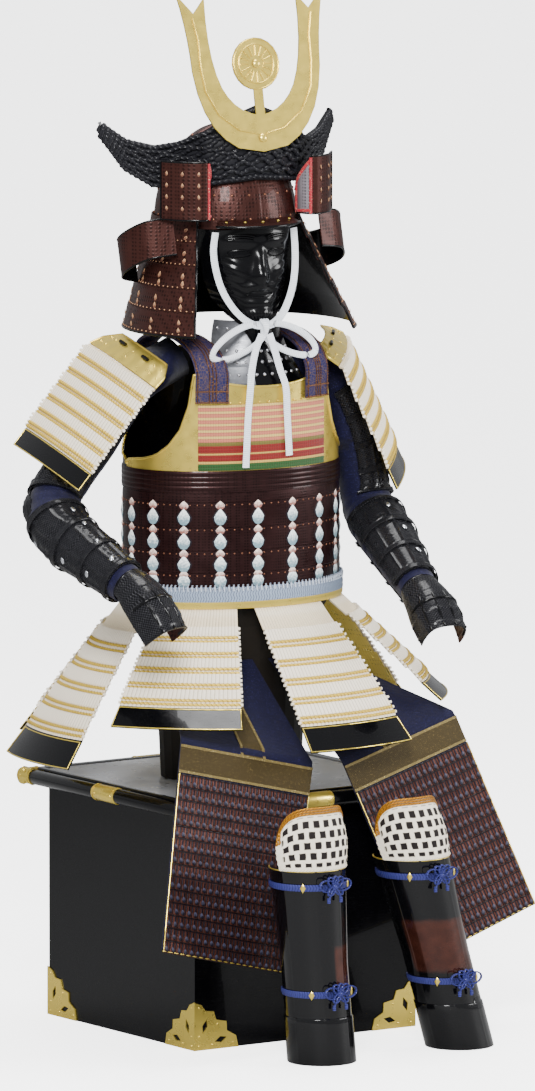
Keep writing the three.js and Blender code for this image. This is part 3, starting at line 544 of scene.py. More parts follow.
class Palette:
    """Every material of the armour, each made once."""

    def __init__(self) -> None:
        """Makes the shared effects."""
        self.effects = Effects()

    @lru_cache(maxsize=None)
    def plain(self, finish: Finish) -> Paint:
        """A worn surface of one colour: clouded colour and roughness, and a fine grain."""
        look = Look(finish)
        mask, height = look.group(self.effects.wear, Scale=finish.scale, Amount=0.26)
        tones = [shade(finish.colour, 1 + way * finish.tone) for way in (-1, 1)]
        colour = look.mix(look.noise(finish.scale * 0.4), *tones)
        rough = look.maths("ADD", mask, finish.roughness - 0.13)
        return look.done(colour, height, finish.bump, rough=rough)

    @lru_cache(maxsize=None)
    def cloth(self, finish: Finish, fleck: tuple[float, float, float], many: float = 0.66) -> Paint:
        """Woven cloth with painted shade on its lower threads and small flecks of a second colour, more of them at a
        low `many`.
        """
        look = Look(finish)
        height, upper = look.group(self.effects.weave, Scale=170.0)
        # Painted shade: the lower threads take a darker copy of the colour, the upper threads the full colour.
        threads = look.mix(upper, shade(finish.colour, 0.6), finish.colour)
        worn = look.mix(look.maths("MULTIPLY", look.noise(9), 0.35), threads, shade(finish.colour, 2))
        colour = look.mix(look.band(look.noise(620, 1), many, 2.0, 0.02), worn, fleck)
        return look.done(colour, height, finish.bump, 0.0006, sheen=0.1)

    @lru_cache(maxsize=None)
    def dotted(self, finish: Finish, pitch: float = 5.5) -> Paint:
        """Metal with a net of small raised dots, a pitch in millimetres apart."""
        look = Look(finish)
        cells = look.node("ShaderNodeTexVoronoi", {"Vector": look.place(), "Scale": 1000 / pitch, "Randomness": 0.0})
        dots = look.slope(cells.outputs[0], 0.2, 0.48, 1.0, 0.0)
        mask, _ = look.group(self.effects.wear, Scale=35.0, Amount=0.35)
        colour = look.mix(dots, look.mix(mask, finish.colour, shade(finish.colour, 3.2)), shade(finish.colour, 0.55))
        return look.done(colour, dots, finish.bump, 0.0008, rough=look.maths("ADD", mask, finish.roughness - 0.12))

    @lru_cache(maxsize=None)
    def carved(self) -> Paint:
        """Black plates cut with small diamonds."""
        look = Look(CARVED_BLACK)
        across, down = look.across_and_down()
        ways = [look.maths("SINE", look.maths("MULTIPLY", look.maths(way, across, down), 2 * math.pi))
                for way in ("ADD", "SUBTRACT")]
        lines = look.slope(look.maths("ABSOLUTE", look.maths("MULTIPLY", *ways)), 0.03, 0.22, 1.0, 0.0)
        mask, _ = look.group(self.effects.wear, Scale=60.0, Amount=0.3)
        colour = look.mix(lines, CARVED_BLACK.colour, (0.032, 0.032, 0.037))
        return look.done(colour, lines, CARVED_BLACK.bump, 0.0012, rough=look.maths("ADD", mask, 0.14))

    @lru_cache(maxsize=None)
    def lacing(self) -> Paint:
        """Cream lacing: ribs down each lame, with painted shade, tinted golden, under its cords and painted shade in
        the grooves between ribs. U counts ribs and V counts lames.
        """
        look = Look(Finish("cream_lacing", (0.8, 0.73, 0.6), 0.65))
        across, down = look.across_and_down()
        height, groove = look.group(self.effects.ribs, Across=across, Count=1.0)
        lame = look.maths("FRACT", down)
        # Bands under each lame's two cords, where painted shade tinted golden is laid.
        under = look.maths("ADD", look.band(lame, 0.5, 0.74, 0.03), look.band(lame, 0.78, 0.96, 0.03))
        silk = look.mix(look.noise(260, 2), (0.72, 0.64, 0.5), (0.86, 0.79, 0.67))
        worn = look.mix(look.maths("MULTIPLY", look.noise(14), 0.2), silk, (0.66, 0.53, 0.34))
        shaded_under_cords = look.mix(look.maths("MULTIPLY", under, 0.3), worn, (0.6, 0.42, 0.13))
        # Painted shade: the silk is darkened in the grooves between the ribs.
        colour = look.mix(look.maths("MULTIPLY", groove, 0.75), shaded_under_cords, (0.32, 0.26, 0.17))
        return look.done(colour, look.maths("ADD", height, look.noise(520, 1)), 0.4, sheen=0.1)

    @lru_cache(maxsize=None)
    def scales(self) -> Paint:
        """Small russet scales: U counts scales across and V counts rows, each with two dark upright laces."""
        look = Look(Finish("copper_scales", (0.09, 0.035, 0.028), 0.38, 0.6))
        across, down = look.across_and_down()
        row = look.maths("FRACT", down)
        plate = look.maths("MULTIPLY", look.band(look.centred(across), -1.0, 0.43, 0.05),
                           look.band(row, 0.1, 0.97, 0.04))
        lace = look.maths("MULTIPLY", look.band(look.centred(across, 2.0), 0.26, 1.0, 0.08),
                          look.band(row, 0.12, 0.56, 0.05))
        tone = look.mix(look.noise(34), (0.014, 0.005, 0.004), (0.085, 0.027, 0.017))
        colour = look.mix(lace, look.mix(plate, (0.004, 0.003, 0.005), tone), (0.006, 0.006, 0.012))
        height = look.maths("MULTIPLY_ADD", lace, 0.8, plate)
        return look.done(colour, height, 0.6, 0.0014, metal=look.maths("MULTIPLY", plate, 0.6))

    @lru_cache(maxsize=None)
    def stripes(self) -> Paint:
        """The chest panel's silk stripes over fine ribs, with painted shade in the grooves, V from 0 at its lower edge
        to 1.
        """
        look = Look(Finish("chest_silks", (0.5, 0.3, 0.2), 0.6))
        across, down = look.across_and_down()
        green, red, gold, pink = (0.012, 0.06, 0.012), (0.16, 0.008, 0.007), (0.42, 0.27, 0.06), (0.42, 0.13, 0.08)
        stops = [(0.0, green), (0.1, gold), (0.13, red), (0.23, gold), (0.26, red), (0.37, (0.12, 0.1, 0.02))]
        for k in range(6):
            stops += [(0.43 + k * 0.096, pink), (0.488 + k * 0.096, (0.5, 0.34, 0.1))]
        ribs, groove = look.group(self.effects.ribs, Across=across, Count=56.0)
        rows, gap = look.group(self.effects.ribs, Across=down, Count=21.0)
        # Painted shade in the grooves between the ribs and between the rows.
        groove_shade = look.maths("MULTIPLY", look.maths("ADD", groove, gap), 0.3)
        colour = look.mix(groove_shade, look.ramp(down, stops), (0.07, 0.035, 0.02))
        return look.done(colour, look.maths("ADD", ribs, rows), 0.4, sheen=0.15)

    @lru_cache(maxsize=None)
    def brocade(self) -> Paint:
        """Shoulder-strap brocade: small gilt scrolls on blue."""
        look = Look(Finish("strap_brocade", (0.02, 0.025, 0.12), 0.55))
        inputs = {"Scale": 240.0, "Vector": look.place()}
        scroll = look.node("ShaderNodeTexVoronoi", inputs, feature="DISTANCE_TO_EDGE").outputs[0]
        gold = look.band(scroll, -1.0, 0.04, 0.03)
        height, _ = look.group(self.effects.weave, Scale=200.0)
        colour = look.mix(gold, (0.008, 0.01, 0.06), (0.14, 0.08, 0.035))
        return look.done(colour, look.maths("ADD", height, gold), 0.35)

    @lru_cache(maxsize=None)
    def braid(self, finish: Finish, shadow: tuple[float, float, float], turns: float,
              strands: float = 0.0) -> Paint:
        """Braided or twisted cord, with a rounded height on each strand.

        Args:
            finish: The cord's finish.
            shadow: The colour between strands.
            turns: Strands for each unit of U, which is a centimetre of the cord.
            strands: How many twisted strands go round it, or zero for a plait that bends down its middle.

        Returns:
            The material.
        """
        look = Look(finish)
        across, down = look.across_and_down()
        lean = look.maths("MULTIPLY", down, strands) if strands else look.centred(down)
        turned = look.maths("MULTIPLY_ADD", across, turns, lean)
        height, groove = look.group(self.effects.ribs, Across=turned, Count=1.0)
        tone = look.mix(look.noise(120), shade(finish.colour, 0.82), finish.colour)
        return look.done(look.mix(groove, tone, shadow), height, 0.6, 0.0012)

    @lru_cache(maxsize=None)
    def knee_dots(self) -> Paint:
        """Cream knee silk with staggered rows of dark rounded stitches. U and V are 0 to 1."""
        look = Look(Finish("knee_silk", (0.8, 0.74, 0.62), 0.6))
        across, down = look.across_and_down()
        row = look.maths("MULTIPLY", down, 6.0)
        odd = look.maths("MULTIPLY", look.maths("MODULO", look.maths("FLOOR", row), 2.0), 0.5)
        across_cell, down_cell = look.centred(across, 10.0, odd), look.centred(row)
        dot = look.maths("MULTIPLY", look.band(across_cell, -1.0, 0.3, 0.03), look.band(down_cell, -1.0, 0.34, 0.03))
        dot = look.maths("MULTIPLY", dot, look.band(down, 0.13, 0.93))
        dot = look.maths("MULTIPLY", dot, look.band(across, 0.06, 0.94))
        silk = look.mix(look.noise(50), (0.66, 0.59, 0.46), (0.82, 0.76, 0.64))
        colour = look.mix(dot, silk, (0.012, 0.009, 0.009))
        return look.done(colour, look.maths("SUBTRACT", look.noise(500, 1), dot), 0.5)

    @lru_cache(maxsize=None)
    def shin(self, side: Side) -> Paint:
        """Glossy black shin lacquer, worn through to copper over the lower tie. U and V are 0 to 1."""
        look = Look(Finish(f"shin_lacquer_{side.label}", LACQUER.colour, 0.16, 0.0, 0.6))
        across, down = look.across_and_down()
        mask, height = look.group(self.effects.wear, Scale=26.0, Amount=0.3)
        low, high, start, end = (0.34, 0.6, 0.2, 0.68) if side is Side.LEFT else (0.42, 0.62, 0.52, 0.68)
        edge = look.maths("MULTIPLY_ADD", mask, 0.12, down)
        worn = look.maths("MULTIPLY", look.band(edge, low, high, 0.015), look.band(across, start, end, 0.01))
        copper = look.mix(look.noise(60), (0.022, 0.006, 0.004), (0.1, 0.03, 0.019))
        colour = look.mix(worn, LACQUER.colour, copper)
        return look.done(colour, height, 0.05, rough=look.maths("ADD", mask, 0.02),
                         metal=look.maths("MULTIPLY", worn, 0.7))

    @lru_cache(maxsize=None)
    def drops(self, name: str, low: tuple, high: tuple) -> Paint:
        """Stitches with painted light from above: the colour fades from painted shade at the foot to a painted
        highlight at the top, with a fine grain. V is 0 to 1.
        """
        look = Look(Finish(name, high, 0.4))
        _, down = look.across_and_down()
        grain = look.noise(320, 2)
        # Painted light: `low` is the shaded colour of the lower part, `high` the lit colour of the upper part.
        colour = look.mix(look.slope(look.maths("ADD", down, grain), 0.75, 1.35), low, high)
        return look.done(colour, grain, 0.3, 0.0005)


@dataclass
class Workshop:
    """Small ways of making pieces that every sub-assembly uses."""

    palette: Palette

    @staticmethod
    def rings(line: Sequence[Vector], radius: float, thick: float, twist: float, wide: Optional[Vector]) -> list:
        """Rings along a line of points.

        Args:
            line: The points, in millimetres.
            radius: Half the cord's width.
            thick: Its thickness as a share of its width.
            twist: The length of a turn of two twisted strands, or zero.
            wide: The direction that the width keeps to, or none.

        Returns:
            Each ring's middle, its two half axes, and how far along it lies, with a closed end at each end.
        """
        last = len(line) - 1
        rings, along = [], 0.0
        side = wide
        for i, point in enumerate(line):
            tangent = (line[min(i + 1, last)] - line[max(i - 1, 0)]).normalized()
            if side is None:
                side = tangent.orthogonal()
            across = (side - tangent * side.dot(tangent)).normalized()
            side = wide or across
            third = tangent.cross(across)
            along += (point - line[i - 1]).length if i else 0.0
            if twist:
                turn = 2 * math.pi * along / twist
                across, third = (across * math.cos(turn) + third * math.sin(turn),
                                 third * math.cos(turn) - across * math.sin(turn))
            rings.append((point, across * radius, third * radius * thick, along))
            across = side
        ends = [(point, vec(0, 0, 0), vec(0, 0, 0), along) for point, _, _, along in (rings[0], rings[-1])]
        return [ends[0], *rings, ends[1]]

    def cords(self, name: str, lines: Sequence[Sequence[Vector]], radius: float, turned: bool = True,
              thick: float = 1.0, twist: float = 0.0, sides: int = 8, wide: Optional[Vector] = None) -> Piece:
        """Cords along lines of points, as one mesh: U is centimetres along and V goes once round.

        Args:
            name: The piece's name.
            lines: Each cord's points, in millimetres.
            radius: Half the cord's width.
            turned: Whether the points belong to the turned upper body.
            thick: The cord's thickness as a share of its width.
            twist: The length of a turn of two twisted strands, or zero for a plain cord.
            sides: How many points go round it.
            wide: The direction that the width keeps to, or none to carry it along the cord.

        Returns:
            The mesh of all the cords, with closed ends.
        """
        rings, breaks = [], set()
        for line in lines:
            rings += self.rings(line, radius, 0.66 if twist else thick, twist, wide)
            breaks.add(len(rings) - 1)
        bpy.context.tool_settings.mesh_select_mode = (False, False, True)
        obj = primitive(bpy.ops.mesh.primitive_grid_add, name, x_subdivisions=sides, y_subdivisions=len(rings) - 1,
                        size=2)
        mesh = obj.data
        spots = [(round((v.co.x + 1) / 2 * sides), round((v.co.y + 1) / 2 * (len(rings) - 1))) for v in mesh.vertices]
        uvs = []
        for loop in mesh.loops:
            i, j = spots[loop.vertex_index]
            uvs += [rings[j][3] / 10, i / sides]
        mesh.uv_layers.active.data.foreach_set("uv", uvs)
        turns = [(math.cos(2 * math.pi * i / sides), math.sin(2 * math.pi * i / sides)) for i in range(sides)]
        for vertex, (i, j) in zip(mesh.vertices, spots):
            middle, across, third, _ = rings[j]
            x, y = turns[i % sides]
            vertex.co = settle(middle + across * x + third * y, turned)
        for polygon in mesh.polygons:
            polygon.select = min(spots[v][1] for v in polygon.vertices) in breaks
        only(obj)
        bpy.ops.object.mode_set(mode="EDIT")
        bpy.ops.mesh.delete(type="FACE")
        bpy.ops.mesh.select_all(action="SELECT")
        bpy.ops.mesh.remove_doubles(threshold=2e-6)
        bpy.ops.mesh.normals_make_consistent(inside=False)
        bpy.ops.object.mode_set(mode="OBJECT")
        smooth(obj, 60)
        return obj

    def ribbon(self, name: str, points: Sequence[Vector], width: float, thick: float, wide: Vector,
               count: int) -> Piece:
        """A flat cord of a width and thickness along a smooth route, cut into a count of rings."""
        route = Route(points)
        line = [route.at(i / count) for i in range(count + 1)]
        return self.cords(name, [line], width / 2, thick=thick / width, sides=12, wide=wide)

    def copies(self, name: str, pattern: Piece, spots: Sequence[tuple[Vector, Vector]], turned: bool,
               long: float = 1.0) -> Piece:
        """Copies a pattern to spots, upright on each, as one mesh, and takes the pattern away.

        Args:
            name: The piece's name.
            pattern: The object, modelled at the origin and facing up.
            spots: Each copy's place and the direction that it faces, in millimetres.
            turned: Whether the spots belong to the turned upper body.
            long: How much each copy is stretched upright.

        Returns:
            All the copies as one mesh.
        """
        made = []
        for place, facing in spots:
            z = settle(facing, turned).normalized()
            y = (UP - z * UP.dot(z)).normalized() if abs(z.z) < 0.95 else vec(0, 1, 0)
            mesh = pattern.data.copy()
            spin = Matrix((y.cross(z).normalized(), y * long, z)).transposed().to_4x4()
            mesh.transform(Matrix.Translation(settle(place, turned)) @ spin)
            copy = bpy.data.objects.new(name, mesh)
            bpy.context.collection.objects.link(copy)
            made.append(copy)
        bpy.data.objects.remove(pattern)
        return joined(name, made)

    def rivets(self, name: str, spots: Sequence[tuple[Vector, Vector]], radius: float, height: float,
               turned: bool = True, sides: int = 8, long: float = 1.0) -> Piece:
        """Domed studs of a radius and height, modelled once from a disc and copied to each spot."""
        pattern = primitive(bpy.ops.mesh.primitive_circle_add, "stud", vertices=sides, radius=radius * MM,
                            fill_type="NGON")
        bpy.ops.object.mode_set(mode="EDIT")
        bpy.ops.mesh.select_all(action="SELECT")
        for share, size in ((0.55, 0.86), (0.45, 0.45)):
            bpy.ops.mesh.extrude_region_move(TRANSFORM_OT_translate={"value": (0, 0, height * share * MM)})
            bpy.ops.transform.resize(value=(size, size, 1))
        bpy.ops.mesh.select_all(action="SELECT")
        bpy.ops.mesh.normals_make_consistent(inside=False)
        bpy.ops.object.mode_set(mode="OBJECT")
        obj = self.copies(name, pattern, spots, turned, long)
        smooth(obj, 50)
        return obj

    def drop_stitches(self, name: str, spots: Sequence[tuple[Vector, Vector]], width: float, tall: float,
                      turned: bool = True, pinch: float = 0.75) -> Piece:
        """Teardrop stitches, pointed at the top by a pinch and round below, copied to each spot.

        Args:
            name: The piece's name.
            spots: Each stitch's middle and the direction that it faces, in millimetres.
            width: The stitch's width.
            tall: Its height.
            turned: Whether the spots belong to the turned upper body.
            pinch: How pointed its top is.

        Returns:
            All the stitches as one mesh, with V from 0 below to 1 above.
        """
        pattern = primitive(bpy.ops.mesh.primitive_circle_add, "stitch", vertices=12, radius=0.5, fill_type="TRIFAN",
                            calc_uvs=True)
        for vertex in pattern.data.vertices:
            x, y = vertex.co.x, vertex.co.y
            dome = 1 - min(1.0, (x * x + y * y) * 4)
            narrow = 1 - pinch * max(0.0, y * 2) ** 1.2
            vertex.co = vec(x * narrow * width, y * tall, 0.4 + 0.12 * width * dome) * MM
        obj = self.copies(name, pattern, spots, turned)
        apply(obj, "SOLIDIFY", thickness=0.7 * MM, offset=-1)
        smooth(obj, 60)
        return obj

    def block(self, name: str, size: Vector, middle: Vector, bevel: float) -> Piece:
        """A box of a size about its middle, with bevelled edges, placed in its mesh."""
        obj = primitive(bpy.ops.mesh.primitive_cube_add, name, size=1)
        for vertex in obj.data.vertices:
            vertex.co = settle(vec(*(c * s for c, s in zip(vertex.co, size))) + middle, False)
        apply(obj, "BEVEL", width=bevel * MM, segments=3)
        smooth(obj, 40)
        return obj

    def rod(self, name: str, start: Vector, end: Vector, radius: float, bevel: float) -> Piece:
        """A round rod between two points, its rims bevelled."""
        along = end - start
        obj = primitive(bpy.ops.mesh.primitive_cylinder_add, name, vertices=32, radius=radius * MM,
                        depth=along.length * MM)
        apply(obj, "BEVEL", width=bevel * MM, segments=2, limit_method="ANGLE")
        spin = along.to_track_quat("Z", "Y").to_matrix()
        for vertex in obj.data.vertices:
            vertex.co = settle(spin @ (vertex.co / MM) + (start + end) / 2, False)
        smooth(obj, 40)
        return obj


@dataclass
class Assembly:
    """A sub-assembly of the armour, and the workshop that makes its pieces."""

    shop: Workshop

    @property
    def palette(self) -> Palette:
        """The workshop's materials."""
        return self.shop.palette

    @property
    def gilt(self) -> Paint:
        """Gilt metal."""
        return self.palette.plain(GILT)

    @property
    def black(self) -> Paint:
        """Black lacquer."""
        return self.palette.plain(LACQUER)


@dataclass
class Chest(Assembly):
    """The armour chest: box, lid with its rail, gilt sleeves and corner fittings, and the stand above it."""

    half: float = 224.0
    low: float = 380.3
    high: float = 400.0
    rail: float = 12.0
    rail_at: float = 235.0

    def build(self) -> None:
        """Builds the lid and rail, and dresses the nodes that stay."""
        palette = self.palette
        black, gilt = self.black, self.gilt
        kept = {"chest_box": black, "hip_stand": palette.plain(STAND_WOOD)}
        kept.update({f"corner_fitting_{quarter}": gilt for quarter in range(1, 5)})
        for name, material in kept.items():
            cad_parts[name].data.materials.clear()
            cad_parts[name].data.materials.append(material)
        self.fitting_studs()
        dress(self.lid(), "lid_grey", [palette.plain(LID_GREY), black], ["chest_lid"])
        rods, sleeves = [], []
        z, reach = self.low + self.rail / 2, self.rail_at + self.rail - 1
        for quarter in range(4):
            turn = Matrix.Rotation(quarter * math.pi / 2, 3, "Z")

            def spot(x: float, out: float = 0.0) -> Vector:
                """A point on one side of the rail, that far out from its middle line."""
                return turn @ vec(x, -self.rail_at - out, z)

            rods.append(self.shop.rod("rail", spot(-reach), spot(reach), self.rail, 1.5))
            for x, half in ((-reach + 16, 17), (0, 32), (reach - 16, 17)):
                sleeves.append(self.shop.rod("sleeve", spot(x - half), spot(x + half), self.rail + 1, 1.2))
                rims = [[spot(end) + (turn @ vec(0, math.cos(a), math.sin(a))) * (self.rail + 1)
                         for a in [i * math.pi / 12 for i in range(25)]] for end in (x - half + 4, x + half - 4)]
                sleeves.append(self.shop.cords("stitches", rims, 1.2, False, twist=3, sides=6))
            studs = [(spot(x, self.rail + 0.8), turn @ vec(0, -1, 0)) for x in (-22, 22, -reach + 8, reach - 8)]
            sleeves.append(self.shop.rivets("studs", studs, 3, 1.6, False))
        dress(joined("chest_rail", rods), "chest_black", [black])
        dress(joined("rail_sleeves", sleeves), "gilt", [gilt])

    def fitting_studs(self) -> None:
        """Adds the small domed nails round each corner fitting."""
        spots = []
        for quarter in range(4):
            turn = Matrix.Rotation(quarter * math.pi / 2, 3, "Z")
            for across, up in ((9, 7), (74, 8), (9, 68), (44, 40), (9, 22), (34, 8)):
                spots.append((turn @ vec(212.2 - across, -212.3, up), turn @ vec(0, -1, 0)))
                spots.append((turn @ vec(212.3, -212.2 + across, up), turn @ vec(1, 0, 0)))
        dress(self.shop.rivets("fitting_nails", spots, 2.2, 1.2, False), "gilt", [self.gilt])

    def lid(self) -> Piece:
        """The lid: a pale sunk panel in a dark rounded frame, each face's material set."""
        lid = self.shop.block("lid_plate", vec(2 * self.half, 2 * self.half, self.high - self.low),
                              vec(0, 0, (self.high + self.low) / 2), 2.5)
        only(lid)
        bpy.ops.object.mode_set(mode="EDIT")
        bpy.ops.mesh.select_all(action="DESELECT")
        bpy.ops.object.mode_set(mode="OBJECT")
        top = max(lid.data.polygons, key=lambda p: p.center.z + p.area)
        for polygon in lid.data.polygons:
            polygon.material_index = 1
        top.select = True
        lid.data.polygons.active = top.index
        bpy.ops.object.mode_set(mode="EDIT")
        bpy.ops.mesh.inset(thickness=0.006)
        bpy.ops.mesh.inset(thickness=0.003, depth=-0.002)
        bpy.ops.object.mode_set(mode="OBJECT")
        for polygon in lid.data.polygons:
            if polygon.select:
                polygon.material_index = 0
        return lid


@dataclass
class Legs(Assembly):
    """Shin guards, knee guards and their ties."""

    stance: dict = field(default_factory=lambda: {Side.RIGHT: (-92, -394, -0.09), Side.LEFT: (171, -395, -0.3)})
    profile: tuple = ((0, 51, 1.6), (73, 51, 1.6), (75, 51, 0), (160, 51, 0), (313, 59, 0))
    open: float = 132.0
    knot: float = 4.0
    ties: tuple = (("upper", 287, 58), ("lower", 114, 51))

    def spot(self, side: Side, degrees: float, radius: float, z: float) -> Vector:
        """A point round a leg, by its angle from the front."""
        x, y, lean = self.stance[side]
        angle = math.radians(degrees)
        return vec(x + lean * z + radius * math.sin(angle), y - radius * math.cos(angle), z)

    def build(self) -> None:
        """Builds both legs."""
        for side in Side:
            self.shin(side)
            self.knee(side)
            for tie in self.ties:
                self.tie(side, *tie)

    def shin(self, side: Side) -> None:
        """A shin guard: splints with raised edges over an ankle band."""
        palette, label = self.palette, side.label
        seams = (0.0, 0.22, 0.42, 0.58, 0.78, 1.0)

        def surface(u: float, t: float) -> Vector:
            """The guard's outer face, with a raised edge at each seam."""
            z = lerp(313, 0, t)
            radius, out = read(self.profile, z)
            seam = min(abs(u - edge) for edge in seams)
            radius += out + 0.8 * max(0, 1 - seam / 0.012)
            return self.spot(side, lerp(-self.open, self.open, u), radius, z)

        levels = sorted([i / 30 for i in range(31)] + [0.7604, 0.7668, 0.97, 0.976])
        guard = Shell(f"shin_{label}", surface, 100, len(levels) - 1, 2, self.spot(side, 0, 0, 150), turned=False,
                      levels=levels).build()
        dress(guard, "black_lacquer", [palette.shin(side)], [f"shin_guard_{label}"])
        rim = [self.spot(side, lerp(-self.open, self.open, i / 40), 60.4, 312.5) for i in range(41)]
        dress(self.shop.cords(f"shin_rims_{label}", [rim], 1.1, False, sides=6), "gilt", [self.gilt])

    def knee(self, side: Side) -> None:
        """A knee guard: a rounded square of quilted silk inside an amber rim."""
        palette, label = self.palette, side.label
        middle = self.spot(side, 0, 0, 350)

        def surface(u: float, t: float) -> Vector:
            """The knee guard's outer face."""
            s, w = 2 * u - 1, 1 - t
            quilt = 0.5 * math.sin(math.pi * 28 * u) * math.sin(math.pi * 13 * t) if 0.25 < t < 0.95 else 0
            radius = 58.2 + 6 * math.sin(math.pi * w) - 3 * w + quilt
            return self.spot(side, s * 77.5, radius, lerp(414 - 46 * s ** 4, 314, t))

        guard = Shell(f"knee_{label}", surface, 70, 40, 3.2, middle, turned=False).build()
        dress(guard, "cream_lacing", [palette.knee_dots()], [f"knee_guard_{label}"])
        amber = palette.braid(Finish("amber_cord", (0.42, 0.18, 0.015), 0.35, 0.5), (0.15, 0.06, 0.01), 1.6, 2)
        skin = displaced(surface, lambda u, t: 3.4, middle)
        loops = []
        for t, start, end in ((0.01, 0.0, 1.0), (0.05, 0.02, 0.96), (0.09, 0.04, 0.9)):
            loops.append([skin(start, t + (6 - i) * 0.05) for i in range(6)]
                         + [skin(lerp(start, end, i / 60), t) for i in range(61)])
        dress(self.shop.cords(f"knee_cord_{label}", loops, 1.9, False), "gilt", [amber])
        edge = [[skin(i / 60, 0.985) for i in range(61)], [skin(1, 0.03 + i / 20) for i in range(20)],
                [skin(0, 0.3 + i * 0.036) for i in range(20)]]
        cream = palette.braid(Finish("knee_edge", (0.78, 0.72, 0.6), 0.6), (0.45, 0.38, 0.28), 2, 2)
        dress(self.shop.cords(f"knee_edge_{label}", edge, 1.5, False, sides=6), "cream_lacing", [cream])

    def tie(self, side: Side, name: str, z: float, radius: float) -> None:
        """A tie: a flat band, a bow of ribbon petals round a knot, two tasselled ends and gilt buckles."""
        shop, palette, label = self.shop, self.palette, side.label
        inner = radius + 2.7

        def surface(u: float, t: float) -> Vector:
            """The tie's band round the leg."""
            lift = 1.1 * math.sin(math.pi * t) + 0.25 * math.sin(u * 150)
            return self.spot(side, lerp(-self.open, self.open, u), inner + lift, z + lerp(4.8, -4.8, t))

        silk = palette.braid(TIE_BLUE, (0.01, 0.012, 0.07), 2.5)
        parts = [Shell("band", surface, 70, 4, 1.3, self.spot(side, 0, 0, z), turned=False,
                       spread=lambda u, t: (u * 24, t)).build()]
        heart = self.spot(side, self.knot, inner + 6.5, z + 1)
        out = (heart - self.spot(side, self.knot, 0, z + 1)).normalized()
        along = UP.cross(out)
        for turn, size in ((8, 31), (48, 20), (90, 17), (132, 20), (172, 31), (222, 18), (318, 18)):
            way = along * math.cos(math.radians(turn)) + UP * math.sin(math.radians(turn))
            loop = [heart + way * size * (1 - math.cos(a)) / 2 + out.cross(way) * size * 0.3 * math.sin(a)
                    + out * (1.6 * (1 - math.cos(a)) / 2) for a in [i * math.pi / 10 for i in range(21)]]
            parts.append(shop.cords("petal", [loop], 2.6, False, thick=0.5, wide=out))
        for way in (-1, 1):
            end = heart + along * way * 12 - UP * 20 + out * 0.5
            parts.append(shop.cords("end", [[heart, heart + along * way * 7 - UP * 8 + out * 1.5, end]], 1.7, False))
            parts.append(shop.cords("tassel", [[end + UP * 3, end, end - UP * 5]], 2.9, False))
        parts.append(shop.rivets("knot", [(heart + out * 0.5, out)], 4.8, 4.2, False, 12))
        dress(joined(f"tie_{name}_{label}", parts), "blue_tie", [silk], [f"shin_tie_{name}_{label}"])
        buckles = []
        for degrees in (-42, 40):
            spot = self.spot(side, degrees, inner + 3.4, z)
            buckles.append((spot, spot - self.spot(side, degrees, 0, z)))
        dress(shop.rivets(f"tie_buckles_{name}_{label}", buckles, 4.6, 1.5, False, 4, 1.7), "gilt", [self.gilt])


